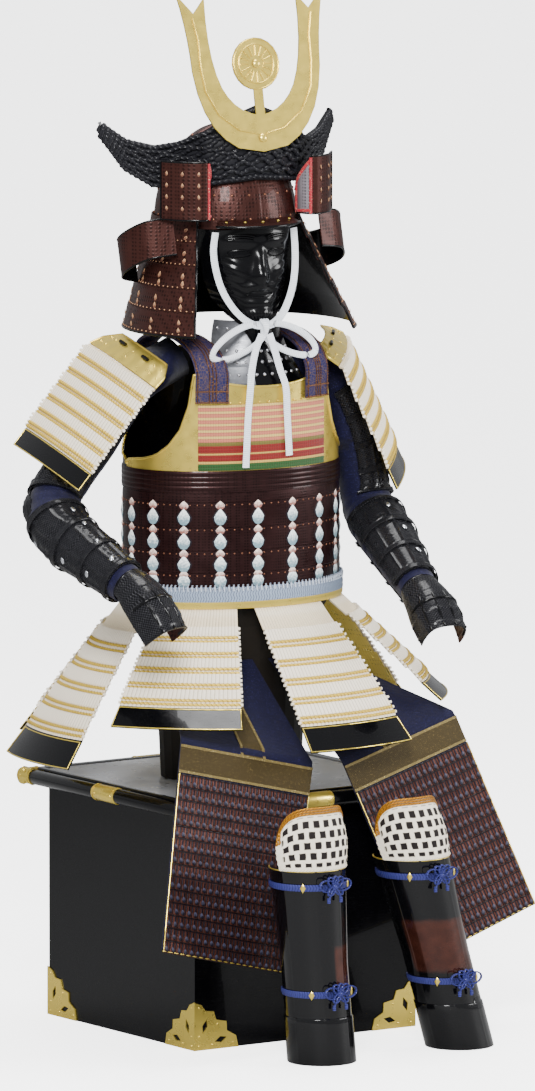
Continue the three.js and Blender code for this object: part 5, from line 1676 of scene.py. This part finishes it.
@dataclass
class Helmet(Assembly):
    """The helmet: bowl, visor, turned-back panels, neck guard and wings, crest base and crest."""

    y: float = 18.0
    radius: float = 112.0
    rim: float = 1285.0
    height: float = 155.0
    turn_back: tuple = ((88.1, -55.8), (84, -82), (98, -99), (126, -86), (151, -52))
    wing: tuple = ((130, -50, 1275), (172, -34, 1268), (193, 8, 1246), (182, 44, 1230), (150.2, 56.9, 1222))
    base: tuple = ((0, -81.7, 1365, 1479), (40, -76.3, 1361, 1464), (76, -58.3, 1355, 1440), (104, -24, 1350, 1422),
                   (134, 6, 1349, 1415), (170, 34, 1376, 1424), (205, 60, 1440, 1449))
    lean: float = 0.2

    def build(self) -> None:
        """Builds every piece of the helmet."""
        # The amber stitches' two colours: painted shade at the foot, a painted highlight at the top.
        self.amber = self.palette.drops("amber_teardrops", (0.12, 0.05, 0.03), (0.42, 0.24, 0.13))
        self.russet = self.palette.dotted(RUSSET, 6.0)
        self.bowl()
        self.visor()
        for side in Side:
            self.turned_panel(side)
            self.neck_wing(side)
        self.neck_guard()
        self.crest_base()
        self.crest()

    @staticmethod
    def follow_guard(point: Vector) -> Vector:
        """Carries a point with the neck guard, which hangs forward and aside towards its lower edge."""
        share = (1297 - point.z) / 177
        return point + vec(12 * share, -24 * share, 0)

    def bowl(self) -> None:
        """The ribbed bowl with rivets down its plates and a gilt crown ring."""

        def surface(u: float, t: float) -> Vector:
            """The bowl with its ribs."""
            rise = math.radians(lerp(83, 0, t))
            rib = 1.5 * max(0.0, 1 - abs(((u * 8 + 0.5) % 1) - 0.5) / 0.05)
            r = (self.radius + rib) * math.cos(rise)
            return ellipse(u * 360, r, r, self.rim + (self.height + rib) * math.sin(rise), self.y)

        away = vec(0, self.y, self.rim + 20)
        bowl = Shell("bowl", surface, 160, 30, 2, away, ring=True).build()
        dress(bowl, "russet_lacquer", [self.russet], ["helmet_bowl"])
        skin = displaced(surface, lambda u, t: 2.0, away)
        spots = [skin((i + 0.5) / 24, t) for i in range(24) for t in (0.25, 0.42, 0.59, 0.76, 0.93)]
        studs = self.shop.rivets("bowl_rivets", [(spot, spot - away) for spot in spots], 2.2, 1.6)
        dress(studs, "russet_lacquer", [self.palette.plain(COPPER_STUD)])
        ring = [[ellipse(i * 10, 15.5, 15.5, self.rim + self.height + 1.2, self.y) for i in range(37)]]
        dress(self.shop.cords("crown_ring", ring, 2.6), "gilt", [self.gilt])

    def visor(self) -> None:
        """The visor with its rolled edge."""

        def surface(u: float, t: float) -> Vector:
            """The visor."""
            s = 2 * u - 1
            r = lerp(114.4, 150 - 16 * s * s, t)
            return ellipse(34 * s, r, r, lerp(1297, 1288, t) + 2 * t * t, self.y)

        visor = Shell("visor", surface, 60, 12, 3, vec(0, -100, 1000), angle=50).build()
        dress(visor, "black_lacquer", [self.russet], ["helmet_visor"])
        edge = [[surface(i / 40, 1) + vec(0, 0, 1.6) for i in range(41)]]
        dress(self.shop.cords("visor_edge", edge, 2.2), "black_lacquer", [self.black])
        spots = [(surface(u, 0.35) + vec(0, 0, 3), UP) for u in (0.1, 0.3, 0.5, 0.7, 0.9)]
        dress(self.shop.rivets("visor_rivets", spots, 2.6, 1.8), "gilt", [self.gilt])

    def turned_panel(self, side: Side) -> None:
        """A turned-back panel: silvered iron inwards, russet outwards, between them a crimson border."""
        palette, label = self.palette, side.label
        route = Route([vec(side.sign * x, y, 0) for x, y in self.turn_back])

        def surface(u: float, t: float) -> Vector:
            """The turned-back panel."""
            point = route.point(u)
            return vec(point.x, point.y, lerp(1338 + 58 * min(1, u / 0.45), 1304, t))

        away = vec(0, self.y, 1350)
        panel = Shell(f"panel_{label}", surface, 60, 20, 2.4, away,
                      tint=lambda u, t: 1 if 0.1 < u < 0.44 else (2 if u <= 0.1 else 0)).build()
        crimson = palette.cloth(Finish("crimson_silk", (0.3, 0.014, 0.024), 0.5, bump=0.3), (0.6, 0.36, 0.2))
        silver = palette.dotted(Finish("silver_net", (0.22, 0.2, 0.22), 0.36, 0.6, bump=0.4), 5)
        dress(panel, "russet_lacquer", [self.russet, silver, crimson], [f"turned_panel_{label}"])
        skin = displaced(surface, lambda u, t: 2.6, away)
        inside = [[skin(u, i / 16) for i in range(17)] for u in (0.11, 0.43)]
        inside += [[skin(lerp(0.1, 0.43, i / 12), t) for i in range(13)] for t in (0.04, 0.94)]
        dress(self.shop.cords(f"panel_border_{label}", inside, 2.6), "blue_tie", [crimson])
        rim = [[skin(i / 40, t) for i in range(41)] for t in (0.0, 1.0)] + [[skin(1, i / 10) for i in range(11)]]
        dress(self.shop.cords(f"panel_rim_{label}", rim, 1.4, sides=6), "russet_lacquer", [self.black])
        dots = [skin(u, t) for u in (0.6, 0.78, 0.94) for t in (0.2, 0.4, 0.6, 0.8)]
        stitches = self.shop.drop_stitches(f"panel_lacing_{label}", [(dot, dot - away) for dot in dots], 5, 8)
        dress(stitches, "gilt", [self.amber])

    def neck_wing(self, side: Side) -> None:
        """A wing plate off the neck guard's front, with a rim."""
        route = Route([vec(side.sign * x, y, z) for x, y, z in self.wing])

        def surface(u: float, t: float) -> Vector:
            """The wing."""
            return self.follow_guard(route.point(u) + vec(0, 0, lerp(30, -28, t)))

        away = vec(side.sign * 150, 0, 1250)
        wing = Shell(f"wing_{side.label}", surface, 50, 14, 2, away, inner=1).build()
        dress(wing, "russet_lacquer", [self.russet, self.black], [f"neck_wing_{side.label}"])
        skin = displaced(surface, lambda u, t: 1.0, away)
        rim = [[skin(i / 40, t) for i in range(41)] for t in (0, 1)]
        dress(self.shop.cords(f"wing_rim_{side.label}", rim, 1.7), "black_lacquer", [self.black])

    def neck_guard(self) -> None:
        """Five flaring lames: dotted russet outside, black inside, with amber lacing and dark edges."""
        levels = [k / 5 + part for k in range(5) for part in (0.004, 0.012, 0.07, 0.14, 0.196)]
        levels[0], levels[-1] = 0.0, 1.0

        def surface(u: float, t: float) -> Vector:
            """The lames, each flaring over the next."""
            out = lerp(3.1, 0.5, (t * 5) % 1 if t < 1 else 1)
            r = lerp(115.3, 183, t ** 1.1) + (out if t > 0.2 else 0.8)
            spot = ellipse(lerp(50, 310, u), r, r, lerp(1297, 1120, t), self.y)
            return self.follow_guard(spot) + vec(0, 0, 0.5 * out)

        away, axis = vec(0, self.y, 1305), vec(0, self.y, 1150)
        guard = Shell("neck_lames", surface, 130, len(levels) - 1, 2, away, levels=levels, inner=1, angle=30).build()
        dress(guard, "russet_lacquer", [self.russet, self.black], ["neck_guard"])
        skin = displaced(surface, lambda u, t: 2.4, away)
        drops = [skin((j + 0.5) / 14, k / 5 + part) for k in range(5) for j in range(14) for part in (0.085, 0.15)]
        lacing = self.shop.drop_stitches("neck_lacing", [(spot, spot - axis) for spot in drops], 6, 11)
        dress(lacing, "gilt", [self.amber])
        studs = [skin((j + 0.5) / 72, k / 5 + 0.18) for k in range(5) for j in range(72)]
        rivets = self.shop.rivets("neck_studs", [(spot, spot - axis) for spot in studs], 1.5, 1.0, sides=6)
        dress(rivets, "gilt", [self.amber])
        edge = [[skin(i / 90, 1.0) for i in range(91)], *[[skin(u, i / 24) for i in range(25)] for u in (0, 1)]]
        dress(self.shop.cords("neck_edge", edge, 1.9), "black_lacquer", [self.black])

    def crest_base(self) -> None:
        """The dark crescent under the twisted ropes that run along it to its upturned tips."""

        def surface(u: float, t: float) -> Vector:
            """The crescent's cushion."""
            s = 2 * u - 1
            y, low, high = read(self.base, abs(205 * s))
            swell = math.sin(math.pi * t) * (1.2 + 12 * max(0, 1 - abs(s) * 205 / 130))
            return vec(205 * s, y, lerp(high, low, t)) + vec(0.55 * s, -1, 0).normalized() * swell

        away = vec(0, 150, 1400)
        rope = self.palette.braid(Finish("black_rope", (0.01, 0.01, 0.013), 0.42, 0.0, 0.1), (0.002, 0.002, 0.003),
                                  0, 2)
        cushion = Shell("crest_cushion", surface, 120, 16, 8.4, away, spread=lambda u, t: (u * 24, t * 4),
                        angle=60).build()
        dress(cushion, "black_lacquer", [rope], ["crest_base"])
        skin = displaced(surface, lambda u, t: 9.8, away)
        ropes = []
        for strand in range(9):
            place = 0.06 + strand * 0.11
            wave = 0.032 if 0 < strand < 8 else 0.0
            ropes.append([skin(lerp(0.01, 0.99, i / 200), place + wave * math.sin(i * 0.42 + strand * math.pi))
                          for i in range(201)])
        y = read(self.base, 205)[0]
        ropes += [[vec(sign * 190, y - 14, 1428), vec(sign * 203, y - 8, 1442), vec(sign * 206, y - 4, 1450)]
                  for sign in (-1, 1)]
        dress(self.shop.cords("crest_ropes", ropes, 5.0, twist=19), "black_lacquer", [rope])

    def crest(self) -> None:
        """The gilt crest: the plate's own outline, with ridged edges, a rim on the disc and small rays."""
        gilt = self.gilt
        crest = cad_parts["crest"]
        crest.data.materials.clear()
        crest.data.materials.append(gilt)
        lean = Matrix.Rotation(-self.lean, 3, "X")

        def on(x: float, z: float, lift: float = 0.0) -> Vector:
            """A point on the crest, which leans back."""
            return lean @ vec(x, -3.2 - lift, z - 1452) + vec(0, self.base[0][1] - 20.1, 1452)

        turns = [i * math.pi / 24 for i in range(49)]
        lines = [[on(r * math.sin(a), 1548 + r * math.cos(a)) for a in turns] for r in (40, 31)]
        lines += [[on(r * math.sin(a), 1548 + r * math.cos(a)) for r in (13, 21, 29)] for a in turns[:48:3]]
        edge = ((8, 1437), (40, 1444), (74, 1470), (94, 1508), (99, 1548), (99, 1590), (106, 1626))
        lines += [[on(sign * x, z, 0.6) for x, z in edge] for sign in (-1, 1)]
        bosses = self.shop.rivets("bosses", [(on(0, z, 1), lean @ vec(0, -1, 0)) for z in (1548, 1430)], 7, 3, sides=16)
        dress(joined("crest_rims", [self.shop.cords("rims", lines, 1.3), bosses]), "gilt", [gilt])


@dataclass
class Face(Assembly):
    """The face mask, throat guard, chin cord and its two free tails."""

    rows: tuple = ((1107, 12, -101, 3), (1120, 20, -100, 6), (1135, 28, -100, 13), (1150, 44, -100, 32),
                   (1175, 60, -99, 50), (1205, 70, -98, 56), (1240, 75, -97, 54), (1262, 76, -96, 46),
                   (1284.7, 76, -94.2, 29.7))
    forms: tuple = ((0, 1210, 11, 15, 13), (0, 1236, 8, 18, 7), (30, 1266, 26, 8, 4), (40, 1218, 18, 16, 4),
                    (0, 1193, 22, 6, 4), (0, 1168, 18, 6, 4), (0, 1152, 16, 9, 5))
    openings: tuple = ((-32, 1246, 17, 5.5), (32, 1246, 17, 5.5), (0, 1181, 21, 4.5))
    turn: float = math.radians(80)
    cheek: tuple = ((70, -80.7, 1281), (73, -79.6, 1252), (71, -84, 1222), (64, -90, 1192), (50, -98, 1164),
                    (33, -106, 1144), (16, -110.5, 1134), (0, -112, 1131))
    tails: dict = field(default_factory=lambda: {
        Side.RIGHT: ((-7, -117.8, 1119), (-18, -119, 1095), (-28, -124, 1062), (-35, -133, 1036), (-39, -132.5, 990),
                     (-41, -132.5, 950), (-43, -132.5, 910)),
        Side.LEFT: ((7, -117.8, 1119), (15, -119, 1095), (23, -124, 1062), (28, -133.4, 1036), (31, -132.5, 995),
                    (33, -132.5, 960), (35, -132.5, 925))})

    def white(self) -> Paint:
        """The white braided cord's material."""
        return self.palette.braid(Finish("white_cord", (0.8, 0.83, 0.87), 0.6), (0.5, 0.55, 0.62), 3.2)

    def free_tails(self) -> None:
        """The two free tails, each a flat white cord along its own points."""
        for side in Side:
            points = [vec(*p) for p in self.tails[side]]
            tail = self.shop.ribbon(f"tail_{side.label}", points, 12, 3, vec(1, 0, 0), 60)
            dress(tail, "white_cord", [self.white()], [f"chin_tail_{side.label}"])
            route = Route(points)
            path = [tuple(settle(route.at(i / 24))) for i in range(25)]
            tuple(path[0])

    def build(self) -> None:
        """Builds the mask, the throat guard and the tied cord."""
        self.mask()
        self.throat()
        self.tied_cord()

    def on_face(self, bend: float, z: float, lift: float = 0.0) -> Vector:
        """A point of the mask at a bend round it and a height: calm generic forms and a ribbed beard."""
        half, front, depth = read(self.rows, z)
        x = half * math.sin(bend) / math.sin(self.turn)
        y = front + depth * (1 - math.cos(bend)) / (1 - math.cos(self.turn))
        out = 0.0
        for cx, cz, wide, tall, high in self.forms:
            for sign in ((1, -1) if cx else (1,)):
                out += high * math.exp(-((x - sign * cx) / wide) ** 2 - ((z - cz) / tall) ** 2)
        out *= min(1.0, max(0.0, (1284 - z) / 10))
        if z < 1156:
            out += 1.3 * abs(math.sin((bend / self.turn + 1) * math.pi * 10)) * min(1, (1156 - z) / 8)
        if z < 1240:
            out += 0.5 * math.sin((z - abs(x) * 0.5) * 0.55) * math.exp(-((abs(x) - 46) / 16) ** 2)
        return vec(x, y, z) + vec(math.sin(bend), -math.cos(bend), 0) * (out + lift)

    def mask(self) -> None:
        """The mask with its sockets and mouth cut through, lids round them, and brows."""
        black = self.black

        def surface(u: float, t: float) -> Vector:
            """The mask's face."""
            return self.on_face((2 * u - 1) * self.turn, lerp(1284.7, 1107, t))

        mask = Shell("mask_skin", surface, 88, 96, 2.5, vec(0, 0, 1200), angle=70).build()
        lids = []
        for x, z, wide, tall in self.openings:
            cutter = primitive(bpy.ops.mesh.primitive_cylinder_add, "cutter", vertices=32, radius=1, depth=90)
            for vertex in cutter.data.vertices:
                c = vertex.co.copy()
                vertex.co = settle(vec(x + c.x * wide, -100 + c.z, z + c.y * tall))
            apply(mask, "BOOLEAN", operation="DIFFERENCE", object=cutter, solver="EXACT")
            bpy.data.objects.remove(cutter)
            loop = []
            for i in range(33):
                px, pz = x + wide * 1.04 * math.cos(i * math.pi / 16), z + tall * 1.12 * math.sin(i * math.pi / 16)
                share = px / read(self.rows, pz)[0] * math.sin(self.turn)
                loop.append(self.on_face(math.asin(max(-1.0, min(1.0, share))), pz, 2.8))
            lids.append(loop)
        smooth(mask, 50)
        dress(mask, "black_lacquer", [black], ["face_mask"])
        brows = [[vec(sign * x, -101.5 + (x / 60) ** 2 * 16 - row * 0.4, 1270 + row * 3.4 - ((x - 34) / 24) ** 2 * 4)
                  for x in range(12, 56, 4)] for sign in (-1, 1) for row in range(3)]
        dress(self.shop.cords("mask_lines", lids + brows, 1.4, sides=6), "black_lacquer", [black])

    def throat(self) -> None:
        """The throat guard: three riveted lames, bare iron at the wearer's right and black beyond."""
        palette = self.palette

        def surface(u: float, t: float) -> Vector:
            """The three lames, each proud of the next."""
            s = 2 * u - 1
            x = 82 * s
            deep = 123.6 * math.sqrt(1 - (x / 177.6) ** 2)
            lip = 1.4 * (1 - ((t * 3) % 1 if t < 1 else 1)) if t > 0.33 else 0
            y = lerp(-94 + 26 * (54 * s / 40) ** 2, -deep, t * t) - lip
            return vec(lerp(54 * s, x, t), y, lerp(1138, 1030, t))

        levels = sorted([i / 36 for i in range(37)] + [1 / 3 + 0.004, 2 / 3 + 0.004])
        guard = Shell("throat_lames", surface, 44, len(levels) - 1, 2, vec(0, 0, 1100), levels=levels, angle=30,
                      tint=lambda u, t: int(u > 0.38)).build()
        iron, black = palette.plain(GREY_IRON), self.black
        dress(guard, "grey_iron", [iron, black, iron, black], ["throat_guard"])
        skin = displaced(surface, lambda u, t: 2.0, vec(0, 0, 1100))
        spots = [(skin((j + 0.5) / 11, t), vec(0, -1, 0.2)) for j in range(11) for t in (0.12, 0.44, 0.6, 0.78)]
        rivet = palette.plain(Finish("bright_rivet", (0.45, 0.45, 0.48), 0.3, 0.9))
        dress(self.shop.rivets("throat_rivets", spots, 3.0, 2.0), "grey_iron", [rivet])

    def tied_cord(self) -> None:
        """The tied part of the chin cord: two runs, two drooping loops, and the wound knot over them."""
        shop, parts = self.shop, []
        for side in Side:
            run = [vec(side.sign * x, y, z) for x, y, z in self.cheek]
            parts.append(shop.ribbon("run", run, 12, 3, vec(1, 0, 0), 60))
            tilt = Matrix.Rotation(math.radians(side.sign * 24), 3, "Y")
            loop = []
            for i in range(41):
                a = i / 20 * math.pi
                loop.append(tilt @ vec(50.4 * math.cos(a), 3 * math.sin(2 * a), 19.2 * math.sin(a))
                            + vec(side.sign * 46, -113, 1108))
            wide = vec(0, -1, 0.01).cross(UP)
            parts.append(shop.cords("loop", [loop], 5.4, thick=0.45, wide=wide, sides=12))
        for x, lean in ((-5, 0.3), (0, 0.0), (5, -0.3)):
            line = []
            for i in range(13):
                a = i / 12 * math.pi
                line.append(vec(x + lean * i * 2, -112 - 8.5 * math.sin(a), 1129 + 11 * math.cos(a)))
            parts.append(shop.cords("turn", [line], 3.6))
        dress(joined("chin_cord_tied", parts), "white_cord", [self.white()], ["chin_cord"])


@dataclass
class Studio:
    """A plain pale floor, soft lights, and the camera at the photograph's angle."""

    target: Vector = field(default_factory=lambda: vec(0.1075, 0.055, 0.7516))
    way: Vector = field(default_factory=lambda: vec(-0.5538, -0.8210, 0.1392))
    distance: float = 25.0
    height: float = 1.7456

    def camera(self) -> None:
        """Adds the camera."""
        data = bpy.data.cameras.new("camera")
        data.lens = 36 * self.distance / self.height
        data.clip_end = 200
        camera = bpy.data.objects.new("camera", data)
        bpy.context.collection.objects.link(camera)
        camera.location = self.target + self.way * self.distance
        camera.rotation_euler = (-self.way).to_track_quat("-Z", "Y").to_euler()
        bpy.context.scene.camera = camera

    def light(self, name: str, place: Vector, size: float, power: float) -> None:
        """Adds a soft square light of a size and power that faces the armour."""
        data = bpy.data.lights.new(name, "AREA")
        data.size, data.energy = size, power
        lamp = bpy.data.objects.new(name, data)
        bpy.context.collection.objects.link(lamp)
        lamp.location = place
        lamp.rotation_euler = (self.target - place).to_track_quat("-Z", "Y").to_euler()

    def build(self) -> None:
        """Adds the floor, the surroundings, dimmer in reflections, and the lights."""
        floor = primitive(bpy.ops.mesh.primitive_plane_add, "floor", size=60)
        look = Look(Finish("floor_paper", (0.94, 0.94, 0.94), 0.6))
        rays = look.node("ShaderNodeLightPath").outputs
        colour = look.mix(rays["Is Glossy Ray"], (0.94, 0.94, 0.94), (0.3, 0.3, 0.3))
        look.feed(look.shader.inputs["Base Color"], colour)
        look.feed(look.shader.inputs["Emission Color"], (1.0, 1.0, 1.0))
        look.feed(look.shader.inputs["Emission Strength"], look.maths("MULTIPLY", rays["Is Camera Ray"], 3.0))
        floor.data.materials.append(look.material)
        world = bpy.data.worlds.new("surroundings")
        world.use_nodes = True
        graph, background = Graph(world.node_tree), world.node_tree.nodes["Background"]
        graph.feed(background.inputs[0], (0.95, 0.96, 0.98))
        rays = graph.node("ShaderNodeLightPath").outputs
        bright = graph.maths("MULTIPLY_ADD", rays["Is Camera Ray"], 3.0, 0.9)
        graph.feed(background.inputs[1], graph.maths("MULTIPLY_ADD", rays["Is Glossy Ray"], -0.3, bright))
        bpy.context.scene.world = world
        self.light("key", vec(-2.4, -3.4, 3.2), 1.2, 340)
        self.light("fill", vec(3.2, -2.6, 1.8), 1.4, 120)
        self.light("top", vec(0.2, 0.2, 4.2), 1.6, 150)


def main() -> None:
    """Builds the armour in order, camera and free cords first."""
    logging.basicConfig(level=logging.INFO, format="%(message)s")
    studio = Studio()
    studio.camera()
    shop = Workshop(Palette())
    face = Face(shop)
    face.free_tails()
    studio.build()
    for part in (Chest(shop), Legs(shop), Thighs(shop), Arms(shop), Cuirass(shop), Skirt(shop), ShoulderGuards(shop),
                 Helmet(shop), face):
        LOG.info("building %s", type(part).__name__)
        part.build()


if __name__ == "__main__":
    main()
